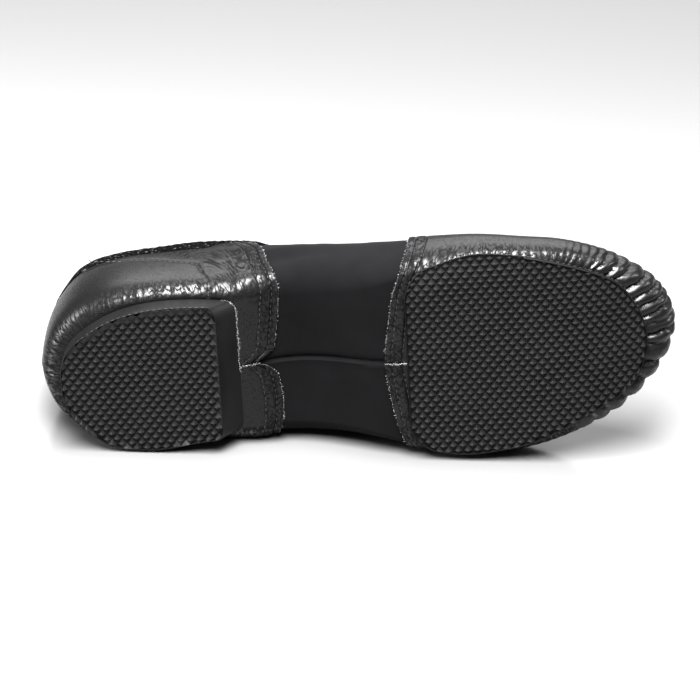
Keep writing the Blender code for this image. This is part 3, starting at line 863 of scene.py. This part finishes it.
def thread_material(name, roughness, specular, scale, detail, span, dark, light, strength, depth):
    """Threads and fibres: paler where noise lies within a span."""
    material, tree, shader, place = new_material(name, roughness, specular)
    twist = noise(tree, place, scale, detail)
    cover(tree, shader, mapped(tree, twist, *span), dark, light, twist, strength, depth)
    return material


def knit_material(name, roughness, specular, dark, light, loops, strength, depth):
    """A matt surface with a fine texture: fabric or rubber."""
    material, tree, shader, place = new_material(name, roughness, specular)
    knit = node(tree, "ShaderNodeGroup", node_tree=KNIT)
    fill(tree, knit, "Vector", place)
    fill(tree, knit, "Loops per Metre", loops)
    cover(tree, shader, knit.outputs["Tone"], dark, light, knit.outputs["Height"], strength, depth)
    return material, tree, shader, knit


def fabric_material(name, dark, light, loops, strength, sheen):
    material, _, shader, _ = knit_material(name, 0.9, 0.1, dark, light, loops, strength, 0.0002)
    shader.inputs["Sheen Weight"].default_value = sheen
    shader.inputs["Sheen Roughness"].default_value = 0.45
    return material


def rubber_material(name, dark, light):
    """Black sole rubber, matt with a slight gloss on worn tips."""
    material, tree, shader, knit = knit_material(name, 0.5, 0.14, dark, light, 1500.0, 0.25, 0.0001)
    shader.inputs["Coat Weight"].default_value = 0.05
    shader.inputs["Coat Roughness"].default_value = 0.2
    tree.links.new(mapped(tree, knit.outputs["Tone"], 0.3, 0.7, 0.42, 0.6), shader.inputs["Roughness"])
    return material


LEATHER_FINISH = leather_material("soft_leather", 0.17, 0.05)
VAMP_FINISH = leather_material("vamp_leather", 0.05, 0.06)
RAW_TONES = ((0.02, 0.02, 0.022), (0.2, 0.2, 0.205))
RAW_EDGE = thread_material("raw_leather_edge", 0.85, 0.3, 1500.0, 4.0, (0.42, 0.62), *RAW_TONES, 1.0, 0.0004)
SOCK_FINISH = fabric_material(
    "stretch_fabric", (0.0035, 0.0035, 0.0039), (0.0066, 0.0066, 0.0073), 2600.0, 0.35, 0.03
)
TAPE_TONES = ((0.0015, 0.0015, 0.0015), (0.1, 0.1, 0.102))
TAPE_FINISH = thread_material("binding_tape", 0.9, 0.05, 900.0, 3.0, (0.6, 0.72), *TAPE_TONES, 1.0, 0.0006)
LINING = fabric_material("insole_lining", (0.02, 0.02, 0.021), (0.035, 0.035, 0.036), 1500.0, 0.4, 0.15)
RUBBER = rubber_material("sole_rubber", (0.006, 0.006, 0.0062), (0.011, 0.011, 0.0114))
TREAD_RUBBER = rubber_material("tread_rubber", (0.0125, 0.0125, 0.0129), (0.018, 0.018, 0.0185))
TWIST = (0.4, 2500.0, 2.0, (0.0, 1.0))
THREAD_FINISH = thread_material(
    "black_thread", 0.5, *TWIST, (0.03, 0.03, 0.0312), (0.05, 0.05, 0.052), 0.6, 0.0001
)
SOLE_THREAD = thread_material(
    "sole_thread", 0.6, *TWIST, (0.036, 0.036, 0.0372), (0.06, 0.06, 0.062), 0.6, 0.0001
)
FIBRE_FINISH = thread_material("loose_fibre", 0.8, *TWIST, (0.3, 0.3, 0.303), (0.5, 0.5, 0.505), 0.6, 0.0001)


def node_tree(name, sizes):
    """An empty Geometry Nodes tree with named inputs, and its two end nodes."""
    way = ("Geometry", "Geometry", None)
    return group_of(name, "Geometry", (way, *sizes, ("Material", "Material", None)), (way,))


def dress(tree, entry, leave, placing, merge=False):
    """Puts a shape on points, makes it real and gives it the tree's material."""
    shapes = out(tree, "GeometryNodeInstanceOnPoints", placing)
    real = out(tree, "GeometryNodeRealizeInstances", {"Geometry": shapes})
    if merge:
        real = out(tree, "GeometryNodeMergeByDistance", {"Geometry": real, "Distance": 1e-5})
    dressed = out(tree, "GeometryNodeSetMaterial", {"Geometry": real, "Material": entry["Material"]})
    tree.links.new(dressed, leave["Geometry"])
    return tree


def spaced_points(tree, entry):
    """Points along lines, one each pitch."""
    curve = out(tree, "GeometryNodeMeshToCurve", {"Mesh": entry["Geometry"]})
    values = {"Curve": curve, "Length": entry["Pitch"]}
    return out(tree, "GeometryNodeResampleCurve", values, mode="LENGTH")


def random_length(tree, entry, name, low, high):
    """A length times a random share."""
    values = {2: low, 3: high, "Seed": entry["Seed"]}
    share = node(tree, "FunctionNodeRandomValue", values, data_type="FLOAT").outputs[1]
    return math_node(tree, "MULTIPLY", entry[name], share)


def random_vector(tree, entry, reach):
    values = {0: (-reach,) * 3, 1: (reach,) * 3, "Seed": entry["Seed"]}
    return out(tree, "FunctionNodeRandomValue", values, data_type="FLOAT_VECTOR")


def grown(mesh, tree, values):
    """The plain mesh that a node tree makes of a mesh. values are the tree's inputs by name."""
    holder = add_object("holder", mesh)
    modifier = holder.modifiers.new("nodes", "NODES")
    modifier.node_group = tree
    for item in tree.interface.items_tree:
        if item.item_type == "SOCKET" and item.in_out == "INPUT" and item.name in values:
            modifier[item.identifier] = values[item.name]
    bpy.context.view_layer.update()
    graph = bpy.context.evaluated_depsgraph_get()
    made = bpy.data.meshes.new_from_object(holder.evaluated_get(graph))
    bpy.data.objects.remove(holder, do_unlink=True)
    made.materials.clear()
    return made


def stitch_tree():
    """Stitches along lines: short rounded threads that lie on the surface."""
    sizes = (
        ("Pitch", "Float", STITCH_PITCH),
        ("Stitch Length", "Float", STITCH_LENGTH),
        ("Thread", "Float", THREAD),
        ("Seed", "Int", 1),
    )
    tree, entry, leave = node_tree("stitch_row", sizes)
    points = spaced_points(tree, entry)
    bead = out(tree, "GeometryNodeMeshUVSphere", {"Segments": 6, "Rings": 5, "Radius": 0.5})
    facing = node(tree, "GeometryNodeInputNamedAttribute", {"Name": "facing"}, data_type="FLOAT_VECTOR")
    tangent = out(tree, "GeometryNodeInputTangent")
    along = out(tree, "FunctionNodeAlignRotationToVector", {"Vector": tangent}, axis="X")
    values = {"Rotation": along, "Vector": facing.outputs["Attribute"]}
    seated = out(tree, "FunctionNodeAlignRotationToVector", values, axis="Z", pivot_axis="X")
    long = random_length(tree, entry, "Stitch Length", 0.85, 1.12)
    size = out(tree, "ShaderNodeCombineXYZ", {"X": long, "Y": entry["Thread"], "Z": entry["Thread"]})
    placing = {"Points": points, "Instance": bead, "Rotation": seated, "Scale": size}
    return dress(tree, entry, leave, placing)


def fibre_tree():
    """Loose fibres along lines: thin tapered hairs that stand off at random."""
    sizes = (
        ("Pitch", "Float", 0.00026),
        ("Fibre Length", "Float", 0.0008),
        ("Thread", "Float", 0.00014),
        ("Spread", "Float", 0.00025),
        ("Seed", "Int", 1),
    )
    tree, entry, leave = node_tree("loose_fibres", sizes)
    shape = {"Vertices": 4, "Side Segments": 2, "Radius Top": 0.1, "Radius Bottom": 0.5, "Depth": 1.0}
    hair = out(tree, "GeometryNodeMeshCone", shape)
    spread = {0: random_vector(tree, entry, 1.0), "Scale": entry["Spread"]}
    offset = out(tree, "ShaderNodeVectorMath", spread, operation="SCALE")
    points = out(tree, "GeometryNodeSetPosition", {"Geometry": spaced_points(tree, entry), "Offset": offset})
    long = random_length(tree, entry, "Fibre Length", 0.4, 1.3)
    size = out(tree, "ShaderNodeCombineXYZ", {"X": entry["Thread"], "Y": entry["Thread"], "Z": long})
    turned = random_vector(tree, entry, 3.2)
    placing = {"Points": points, "Instance": hair, "Rotation": turned, "Scale": size}
    return dress(tree, entry, leave, placing)


def tread_tree():
    """Sole tread: low pointed knobs in diamonds that share their valleys, one for each point."""
    sizes = (
        ("Along", "Float", TREAD_ALONG),
        ("Across", "Float", TREAD_ACROSS),
        ("Depth", "Float", TREAD_DEPTH),
        ("Foot Share", "Float", 0.97),
        ("Shoulder Share", "Float", 0.36),
        ("Tip Share", "Float", 0.50),
    )
    tree, entry, leave = node_tree("diamond_tread", sizes)
    rhombus = out(tree, "GeometryNodeMeshCircle", {"Vertices": 4, "Radius": 1.0}, fill_type="NGON")
    half_along, half_across = (math_node(tree, "MULTIPLY", entry[name], 0.5) for name in ("Along", "Across"))
    size = out(tree, "ShaderNodeCombineXYZ", {"X": half_along, "Y": half_across, "Z": 1.0})
    base = out(tree, "ShaderNodeCombineXYZ", {"Z": entry["Depth"]})
    knob = out(tree, "GeometryNodeTransform", {"Geometry": rhombus, "Translation": base, "Scale": size})
    chosen = {}
    for rise, share in ((0.0, "Foot Share"), (0.8, "Shoulder Share"), (0.2, "Tip Share")):
        lift = math_node(tree, "MULTIPLY", entry["Depth"], -rise)
        values = {"Mesh": knob, "Offset Scale": lift, **chosen}
        step = node(tree, "GeometryNodeExtrudeMesh", values, mode="FACES")
        chosen = {"Selection": step.outputs["Top"]}
        values = {"Geometry": step.outputs["Mesh"], **chosen, "Scale": entry[share]}
        knob = out(tree, "GeometryNodeScaleElements", values)
    return dress(tree, entry, leave, {"Points": entry["Geometry"], "Instance": knob}, merge=True)


STITCHES = stitch_tree()
FIBRES = fibre_tree()
TREAD = tread_tree()


def line_mesh(lines):
    """Lines as edges, from (points, facings) in the shoe's axes. Each point keeps the way that it faces."""
    points = []
    facings = []
    edges = []
    turn = np.array(SHOE.to_3x3())
    for line, facing in lines:
        edges += [(len(points) + k, len(points) + k + 1) for k in range(len(line) - 1)]
        points += lay_down(line).tolist()
        facings += (np.broadcast_to(facing, line.shape) @ turn.T).tolist()
    mesh = mesh_from(points, [], edges)
    made = mesh.attributes.new("facing", "FLOAT_VECTOR", "POINT")
    made.data.foreach_set("vector", np.array(facings, np.float32).ravel())
    return mesh


def skin_line(side, origin, climbs, relief, lift=0.0):
    """A line on one side of the shoe, at a place along and a climb for each point."""
    turn = np.full(len(climbs), side * 0.5 * math.pi)
    base = skin(origin, turn, climbs)
    out_of = skin_normals(origin, turn, climbs)
    return pressed(base + out_of * (relief(base, climbs) + lift)[:, None], -0.0002), out_of


def plate_outline(back, front, straight, corner, steps=70):
    """The outline of a sole piece, from its back along the outer side and home along the inner side.

    straight is the place of its straight end, and corner how far that end's corners are rounded.
    """
    places = back + (front - back) * (0.5 - 0.5 * np.cos(np.linspace(0.0, math.pi, steps)))
    near = np.minimum(np.abs(places - straight) / corner, 1.0)
    cut = corner * (1.0 - np.sqrt(np.maximum(1.0 - (1.0 - near) ** 2, 0.0))) + SOLE_INSET
    outer = np.maximum(side_reach(OUTLINES["feather"], places, 1.0) - cut, 0.0)
    inner = np.maximum(side_reach(OUTLINES["feather"], places, -1.0) - cut, 0.0)
    outer_line = np.stack([places, outer], axis=-1)
    inner_line = np.stack([places, -inner], axis=-1)[::-1]
    line = np.concatenate([outer_line, inner_line, outer_line[:1]])
    lengths = run_along(line)
    even = np.linspace(0.0, lengths[-1], 321)[:-1]
    return np.stack([np.interp(even, lengths, line[:, 0]), np.interp(even, lengths, line[:, 1])], axis=-1)


def inset(outline, centre, distance):
    """An outline drawn in towards a centre by a distance measured square to the line."""
    tangent = np.roll(outline, -1, axis=0) - np.roll(outline, 1, axis=0)
    square = np.stack([tangent[:, 1], -tangent[:, 0]], axis=-1)
    square /= np.maximum(np.linalg.norm(square, axis=1, keepdims=True), 1e-9)
    home = outline - centre
    far = np.linalg.norm(home, axis=1)
    slant = np.maximum(np.abs((home * square).sum(axis=1)) / far, 0.5)
    return centre + home * (1.0 - distance / slant / far)[:, None]


def raised(line, height):
    """A plan line with a height for its points."""
    return np.column_stack([line, np.broadcast_to(height, len(line))])


def plate_piece(name, low, high, centre, floor, top):
    """A sole piece as closed rings: tread face, rim, rounded edge, side and the face against the shoe."""
    within = inset(low, centre, TREAD_RIM)
    shares = (0.0, 0.3, 0.6, 0.85, 1.0)
    rings = [(centre + (within - centre) * share, TREAD_DEPTH + 0.0001) for share in shares]
    rings += [(inset(low, centre, TREAD_RIM - 0.0001), 0.0002), (inset(low, centre, 0.0001), 0.00015)]
    rings.append((low, 0.0004))
    points = [raised(ring, floor(ring) + depth) for ring, depth in rings]
    for climb in (0.35, 0.7, 1.0):
        ring = low + (high - low) * climb
        points.append(raised(ring, floor(ring) + 0.0004 + (top(ring) - floor(ring) - 0.0004) * climb))
    for share in (0.6, 0.0):
        ring = centre + (high - centre) * share
        points.append(raised(ring, top(ring)))
    grid = np.array(points).transpose(1, 0, 2)
    mesh = mesh_from(lay_down(grid.reshape(-1, 3)), grid_faces(len(low), len(points), True))
    return finish_piece(name, mesh, RUBBER, 35.0)


def polar(points, centre):
    """The turn and the distance of plan points seen from a centre."""
    home = points[:, :2] - centre
    return np.arctan2(home[:, 1], home[:, 0]), np.linalg.norm(home, axis=1)


def tread_piece(name, outline, centre, floor, fade):
    """The knobs of the tread, squeezed into the rim's inner line. They fade out over a distance from it."""
    border = inset(outline, centre, TREAD_RIM - 0.0001)
    turns, far = polar(border, centre)
    order = np.argsort(turns)
    turns, far = turns[order], far[order]
    pitch = np.array((TREAD_ALONG, TREAD_ACROSS))
    first = np.floor(border.min(axis=0) / pitch) - 1
    last = np.ceil(border.max(axis=0) / pitch) + 2
    cells = np.array([
        ((i + shift) * TREAD_ALONG, (j + shift) * TREAD_ACROSS)
        for shift in (0.0, 0.5)
        for i in np.arange(first[0], last[0])
        for j in np.arange(first[1], last[1])
    ])
    turn, near = polar(cells, centre)
    cells = cells[near < np.interp(turn, turns, far, period=2.0 * math.pi) + 0.0006]
    made = grown(mesh_from(raised(cells, 0.0), []), TREAD, {"Material": TREAD_RUBBER})
    points = np.zeros(len(made.vertices) * 3)
    made.vertices.foreach_get("co", points)
    points = points.reshape(-1, 3)
    turn, near = polar(points, centre)
    room = np.interp(turn, turns, far, period=2.0 * math.pi)
    squeeze = np.minimum(room / np.maximum(near, 1e-9), 1.0)
    points[:, :2] = centre + (points[:, :2] - centre) * squeeze[:, None]
    if fade:
        front = outline[:, 0].max()
        side = fade * (1.0 - soft_step(front - 0.010, front - 0.004, points[:, 0]))
        side = side * soft_step(0.006, 0.020, -points[:, 1]) + 0.0003
        points[:, 2] *= np.maximum(soft_step(0.0, 1.0, (room - np.minimum(near, room)) / side), 0.12)
    points[:, 2] += floor(points[:, :2])
    made.vertices.foreach_set("co", lay_down(points).ravel())
    with edited(made) as work:
        bmesh.ops.reverse_faces(work, faces=work.faces)
        edges = [edge for edge in work.edges if edge.is_boundary]
        skirt = bmesh.ops.extrude_edge_only(work, edges=edges)["geom"]
        up = SHOE.to_3x3() @ Vector((0.0, 0.0, TREAD_DEPTH + 0.0004))
        foot = [item for item in skirt if isinstance(item, bmesh.types.BMVert)]
        bmesh.ops.translate(work, verts=foot, vec=up)
        bmesh.ops.holes_fill(work, edges=[edge for edge in work.edges if edge.is_boundary])
    return finish_piece(name, made, TREAD_RUBBER, 25.0)


def patch_outline():
    """The forefoot patch's outline, drawn back a little at the toe."""
    line = plate_outline(PATCH_BACK, PATCH_TIP, PATCH_BACK, PATCH_CORNER)
    back = soft_step(0.180, 0.225, line[:, 0])
    return line - np.stack([0.0024 * back, 0.0006 * np.sign(line[:, 1]) * back], axis=-1)


def pad_outlines():
    """The heel pad's outline on the ground and against the shoe."""
    pad_top = plate_outline(PAD_BACK, PAD_FRONT, PAD_FRONT, 0.5 * PAD_CORNER)
    inner = soft_step(0.0, 0.010, -pad_top[:, 1])
    pad_top[:, 1] += PAD_SHIFT * inner * soft_step(0.010, 0.030, pad_top[:, 0])
    pad_low = pad_top.copy()
    pad_low[:, 0] -= PAD_BREAST * soft_step(PAD_FRONT - 1.6 * PAD_BREAST, PAD_FRONT, pad_top[:, 0])
    return pad_low, pad_top


def flat(ring):
    return np.zeros(len(ring))


def pad_level(ring):
    return np.full(len(ring), PAD_THICKNESS)


def patch_floor(ring):
    """The patch's ground face: the toe spring, turned up a little along the inner edge."""
    inner = np.interp(ring[:, 0], SIDE_PLACES, REACHES["feather"]["inner"])
    inner = np.where(ring[:, 0] > TOE_X, 1.0, inner)
    return ground(ring[:, 0]) + EDGE_ROLL * np.clip(1.0 + (-ring[:, 1] - inner) / ROLL_WIDTH, 0.0, 1.0) ** 2


def patch_level(ring):
    return ground(ring[:, 0]) + PATCH_THICKNESS


def add_sole():
    """The heel pad and the forefoot patch."""
    pad_low, pad_top = pad_outlines()
    centre = np.array([PAD_BACK + 0.48 * PAD_LENGTH, 0.0])
    pad = plate_piece("heel_pad_rubber", pad_low, pad_top, centre, flat, pad_level)
    pad_tread = tread_piece("heel_pad_tread", pad_low, centre, flat, TREAD_FADE)
    line = patch_outline()
    centre = np.array([PATCH_BACK + 0.45 * PATCH_LENGTH, -0.002])
    patch = plate_piece("forefoot_patch_rubber", line, line, centre, patch_floor, patch_level)
    patch_tread = tread_piece("forefoot_patch_tread", line, centre, patch_floor, 0.0)
    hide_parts("heel_pad")
    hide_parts("forefoot_patch")
    return [pad, pad_tread, patch, patch_tread]


def flow_mark(points):
    """Where a point lies across and along the wrinkles, which nest in a U round the quarter's front."""
    place = side_view(points) - np.array(FLOW_CENTRE)
    left = place @ np.array(FLOW_LEFT)
    right = place[..., 0]
    across = FLOW_BLEND * np.logaddexp(left / FLOW_BLEND, right / FLOW_BLEND)
    share = 1.0 / (1.0 + np.exp(np.clip((left - right) / FLOW_BLEND, -30.0, 30.0)))
    along = (1.0 - share) * (place @ np.array((FLOW_LEFT[1], -FLOW_LEFT[0]))) + share * place[..., 1]
    level = 1.0 - soft_step(-0.036, -0.004, place[..., 0])
    across = across * (1.0 - level) - place[..., 1] * level
    along = along * (1.0 - level) + place[..., 0] * level
    return np.stack([across, along], axis=-1)


def gather_mark(points, climb):
    """Where the leather is drawn in beside the sole. The gathers round the toe are modelled instead."""
    place = girth_round(points)
    toe = soft_step(-0.060, -0.045, place) * (1.0 - soft_step(0.048, 0.062, place))
    band = gathered_band(climb, (FEATHER_CLIMB - 0.02, FEATHER_CLIMB + 0.02), (0.30, 0.42))
    return (1.0 - 0.75 * toe) * band


def panel_marks(points, climb, behind, slack, groove):
    """The masks of a leather panel: slack, wrinkles, gathers, grooves and crinkled edge."""
    return {
        "slack": slack,
        "flow": flow_mark(points),
        "gather": gather_mark(points, climb),
        "groove": groove,
        "crinkle": 1.0 - soft_step(CRINKLE_BAND - 0.0015, CRINKLE_BAND, behind),
    }


def quarter_marks(points, climb):
    """The quarter's leather is slack most of all in front of the counter's line, and seams pull it in."""
    behind = behind_quarter(points, climb)
    front = soft_step(-0.002, 0.004, points[..., 0] - counter_line(climb))
    slack = np.maximum(front, 0.45 * soft_step(0.012, 0.030, points[..., 0])) * soft_step(0.10, 0.19, climb)
    rows = bell(behind - STITCH_ROWS[0], GROOVE_SHADE) + 0.5 * bell(behind - STITCH_ROWS[1], GROOVE_SHADE)
    groove = np.maximum(np.clip(rows, 0.0, 1.0), counter_mark(points, climb))
    return panel_marks(points, climb, behind, slack, groove)


def vamp_marks(points, climb):
    """A little slack all along the vamp's side, none on its top."""
    behind = behind_vamp(points, climb)
    slack = 0.35 * soft_step(0.16, 0.2, climb) * (1.0 - soft_step(0.5, 0.65, climb))
    groove = 0.7 * np.clip(sum(bell(behind - row, GROOVE_SHADE) for row in STITCH_ROWS), 0.0, 1.0)
    return panel_marks(points, climb, behind, slack, groove)


def add_upper():
    """The stretch sock, the two leather panels and the collar tape."""
    bands = ((0.0, 0.02, 9), (0.02, FEATHER_CLIMB, 14), (FEATHER_CLIMB, GIRTH_CLIMB, 42))
    climbs = climbs_in((*bands, (GIRTH_CLIMB, SEAM_CLIMB, 46)))
    ring = heel_ring(quarter_edge, quarter_edge_out, 100, 150, climbs)
    look = (0.0, LEATHER, (LEATHER_FINISH, RAW_EDGE), "soft_leather")
    quarter = skin_piece("quarter_leather", ring, climbs, quarter_relief, *look, marks=quarter_marks)
    bands = ((0.0, 0.02, 8), (0.02, FEATHER_CLIMB, 8), (FEATHER_CLIMB, GIRTH_CLIMB, 38))
    climbs = climbs_in((*bands, (GIRTH_CLIMB, 1.0, 40)))
    ring = toe_ring(vamp_edge, 90, 280, climbs)
    look = (0.0, LEATHER, (VAMP_FINISH, RAW_EDGE), "soft_leather")
    vamp = skin_piece("vamp_leather", ring, climbs, vamp_relief, *look, marks=vamp_marks)
    climbs = climbs_in(((0.0, FEATHER_CLIMB, 26), (FEATHER_CLIMB, GIRTH_CLIMB, 20), (GIRTH_CLIMB, 1.0, 34)))
    ring = heel_ring(quarter_edge, quarter_edge, 26, 60, climbs)
    ring += side_columns(quarter_edge, THROAT_X, 24, 1.0, climbs)[1:]
    ring += side_columns(THROAT_X, vamp_edge, 36, 1.0, climbs)[1:]
    ring += toe_ring(vamp_edge, 24, 70, climbs)[1:]
    ring += side_columns(vamp_edge, THROAT_X, 36, -1.0, climbs)[1:]
    ring += side_columns(THROAT_X, quarter_edge, 24, -1.0, climbs)[1:-1]
    sink = LEATHER + GAP
    sock = skin_piece(
        "stretch_sock", ring, climbs, sock_relief, sink, SOCK, SOCK_FINISH, "stretch_fabric", closed=True
    )
    band = climbs_in(((TAPE_CLIMB, 1.0, 10),))
    end = THROAT_X + BINDING_HEIGHT
    ring = []
    for origin, turn in heel_ring(end, end, 90, 90, band):
        narrow = soft_step(0.066, 0.080, origin[0]) * (1.0 if math.cos(turn[0]) > -1e-6 else 0.0)
        start = TAPE_START + (TAPE_CLIMB - TAPE_START) * narrow
        ring.append((origin, turn, start + (1.0 - start) * (band - TAPE_CLIMB) / (1.0 - TAPE_CLIMB)))
    tape = skin_piece("collar_tape", ring, band, tape_relief, -GAP, sink, TAPE_FINISH, "binding_tape")
    for piece, name in ((quarter, "quarter"), (vamp, "vamp"), (sock, "upper"), (tape, "collar_binding")):
        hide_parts(name)
    return [quarter, vamp, sock, tape]


def add_insole():
    """The insole, a thin closed sheet of rings inside the sock."""
    seat = LEATHER + GAP + SOCK + INSOLE_CLEARANCE
    inset_by = CORNER_TUCK + seat
    shares = 0.5 - 0.5 * np.cos(np.linspace(0.0, math.pi, 120))
    places = FEATHER_BACK + inset_by + (FEATHER_TIP - FEATHER_BACK - 2.0 * inset_by) * shares
    inner = np.maximum(side_reach(OUTLINES["feather"], places, -1.0) - inset_by, 0.0003)
    outer = np.maximum(side_reach(OUTLINES["feather"], places, 1.0) - inset_by, 0.0003)
    inside = floor_reach(places, underside(places, outer) + seat + INSOLE) - seat - 2.0 * PRESS_SOFTNESS
    outer = np.minimum(outer, inside)
    across = np.concatenate([np.linspace(-1.0, 1.0, 33), np.linspace(1.0, -1.0, 33)])
    upper = np.repeat((1.0, 0.0), 33)
    reach_out = np.where(across > 0.0, outer[:, None], inner[:, None])
    y = reach_out * across
    edge = np.minimum((1.0 - np.abs(across)) * reach_out / 0.0008, 1.0)
    dome = INSOLE * (0.5 + (upper - 0.5) * np.sqrt(np.maximum(1.0 - (1.0 - edge) ** 2, 0.0)))
    x = np.broadcast_to(places[:, None], y.shape)
    grid = np.stack([x, y, underside(x, y) + seat + dome], axis=-1)
    count, rows = y.shape
    corner = np.arange(count - 1)[:, None] * rows + np.arange(rows)
    beside = np.arange(count - 1)[:, None] * rows + (np.arange(rows) + 1) % rows
    faces = np.stack([corner, beside, beside + rows, corner + rows], axis=-1).reshape(-1, 4)
    mesh = mesh_from(lay_down(grid.reshape(-1, 3)), faces)
    with edited(mesh) as work:
        bmesh.ops.remove_doubles(work, verts=work.verts, dist=1e-6)
        bmesh.ops.holes_fill(work, edges=[side for side in work.edges if side.is_boundary])
        bmesh.ops.recalc_face_normals(work, faces=work.faces)
    piece = finish_piece("insole_lining", mesh, LINING)
    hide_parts("insole")
    return [piece]


def add_threads():
    """Stitches along the cut edges and the counter, and the fibres that stand off the raw leather."""
    rows = np.linspace(0.02, SEAM_CLIMB, 160)
    upper = np.linspace(0.02, 1.0, 200)
    counter = np.linspace(0.21, 0.64, 120)
    stitched = []
    frayed = []
    for side, edge in ((-1.0, quarter_edge), (1.0, quarter_edge_out)):
        for row in STITCH_ROWS:
            stitched.append(skin_line(side, edge(rows) - row, rows, quarter_relief))
            stitched.append(skin_line(side, vamp_edge(upper) + row, upper, vamp_relief))
        stitched.append(skin_line(side, counter_line(counter), counter, quarter_relief))
        frayed.append(skin_line(side, edge(rows), rows, quarter_relief, -0.5 * LEATHER))
        frayed.append(skin_line(side, vamp_edge(upper), upper, vamp_relief, -0.5 * LEATHER))
    pad_low, pad_top = pad_outlines()
    inner = (pad_low[:, 1] < -0.012) & (pad_low[:, 0] > 0.016)
    beside = pad_low[inner & (pad_low[:, 0] < PAD_FRONT - 0.012)]
    beside = beside[np.argsort(beside[:, 0])]
    patch = patch_outline()
    patch = patch[(patch[:, 1] < -0.016) & (patch[:, 0] > PATCH_BACK + 0.002)]
    patch = patch[np.argsort(patch[:, 0])] - np.array((0.0, 0.0002))
    facing = (0.0, -0.8, -0.6)
    bonded = [(raised(beside, 0.0004), facing)]
    bonded.append((raised(patch, ground(patch[:, 0]) + EDGE_ROLL + 0.0002), facing))
    for first, last in ((PAD_FRONT + 0.001, 0.345 * LENGTH), (0.541 * LENGTH, PATCH_BACK)):
        seam = skin(np.linspace(first, last, 30), -0.5 * math.pi, 0.0)
        frayed.append((seam - np.array((0.0, 0.0, 0.0002)), (0.0, 0.0, -1.0)))
    corner = pad_top[(pad_top[:, 1] < 0.002) & (pad_top[:, 0] > PAD_FRONT - 0.005)]
    corner = corner[np.argsort(corner[:, 1])]
    frayed.append((raised(corner, PAD_THICKNESS - 0.0004), (1.0, 0.0, 0.0)))
    pieces = []
    for name, lines, tree, finish, values in (
        ("seam_stitches", stitched, STITCHES, THREAD_FINISH, {}),
        ("sole_stitches", bonded, STITCHES, SOLE_THREAD, {"Thread": 0.00025, "Pitch": 0.0023}),
        ("edge_fibres", frayed, FIBRES, FIBRE_FINISH, {"Seed": 4}),
    ):
        mesh = grown(line_mesh(lines), tree, {"Material": finish, **values})
        pieces.append(finish_piece(name, mesh, finish, 60.0))
    return pieces


def add_stage():
    """A pale floor and soft studio light."""
    scene = bpy.context.scene
    floor_mesh = bpy.data.meshes.new("floor")
    with edited(floor_mesh) as work:
        bmesh.ops.create_grid(work, x_segments=1, y_segments=1, size=12.0)
    material, _, shader, _ = new_material("pale_floor", 0.18, 0.5)
    shader.inputs["Base Color"].default_value = (0.17, 0.17, 0.17, 1.0)
    floor_mesh.materials.append(material)
    floor = add_object("floor", floor_mesh)
    floor.location = (0.0, 0.0, cad_low.z - 0.0002)
    scene.world = bpy.data.worlds.new("studio")
    scene.world.use_nodes = True
    sky = scene.world.node_tree.nodes["Background"].inputs
    sky["Color"].default_value = (1.0, 1.0, 1.0, 1.0)
    sky["Strength"].default_value = 0.16
    for name, place, width, depth, power in PANELS:
        lamp = bpy.data.lights.new(name, "AREA")
        lamp.shape = "RECTANGLE"
        lamp.size = width
        lamp.size_y = depth
        lamp.energy = power
        holder = add_object(name, lamp)
        holder.location = place
        holder.rotation_euler = (AIM - Vector(place)).to_track_quat("-Z", "Y").to_euler()
    scene.view_settings.view_transform = "Standard"
    scene.view_settings.look = "None"
    scene.view_settings.gamma = 0.85


def add_camera():
    """A long lens at the photograph's angle: square to the shoe, turned off the sole to its inner side."""
    along, outer, up = SHOE.to_3x3().transposed()
    toward = -up * math.cos(VIEW_TURN) - outer * math.sin(VIEW_TURN)
    across = -outer * math.cos(VIEW_TURN) + up * math.sin(VIEW_TURN)
    right = along * math.cos(VIEW_ROLL) - across * math.sin(VIEW_ROLL)
    above = along * math.sin(VIEW_ROLL) + across * math.cos(VIEW_ROLL)
    data = bpy.data.cameras.new("camera")
    data.lens = LENS
    data.sensor_width = SENSOR
    camera = add_object("camera", data)
    place = SHOE @ Vector(VIEW_CENTRE) + toward * (VIEW_WIDTH * LENS / SENSOR)
    camera.matrix_world = Matrix.Translation(place) @ Matrix((right, above, toward)).transposed().to_4x4()
    bpy.context.scene.camera = camera


add_camera()
pieces = add_sole() + add_upper() + add_insole() + add_threads()
for piece in pieces:
    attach(piece, "root")
add_stage()
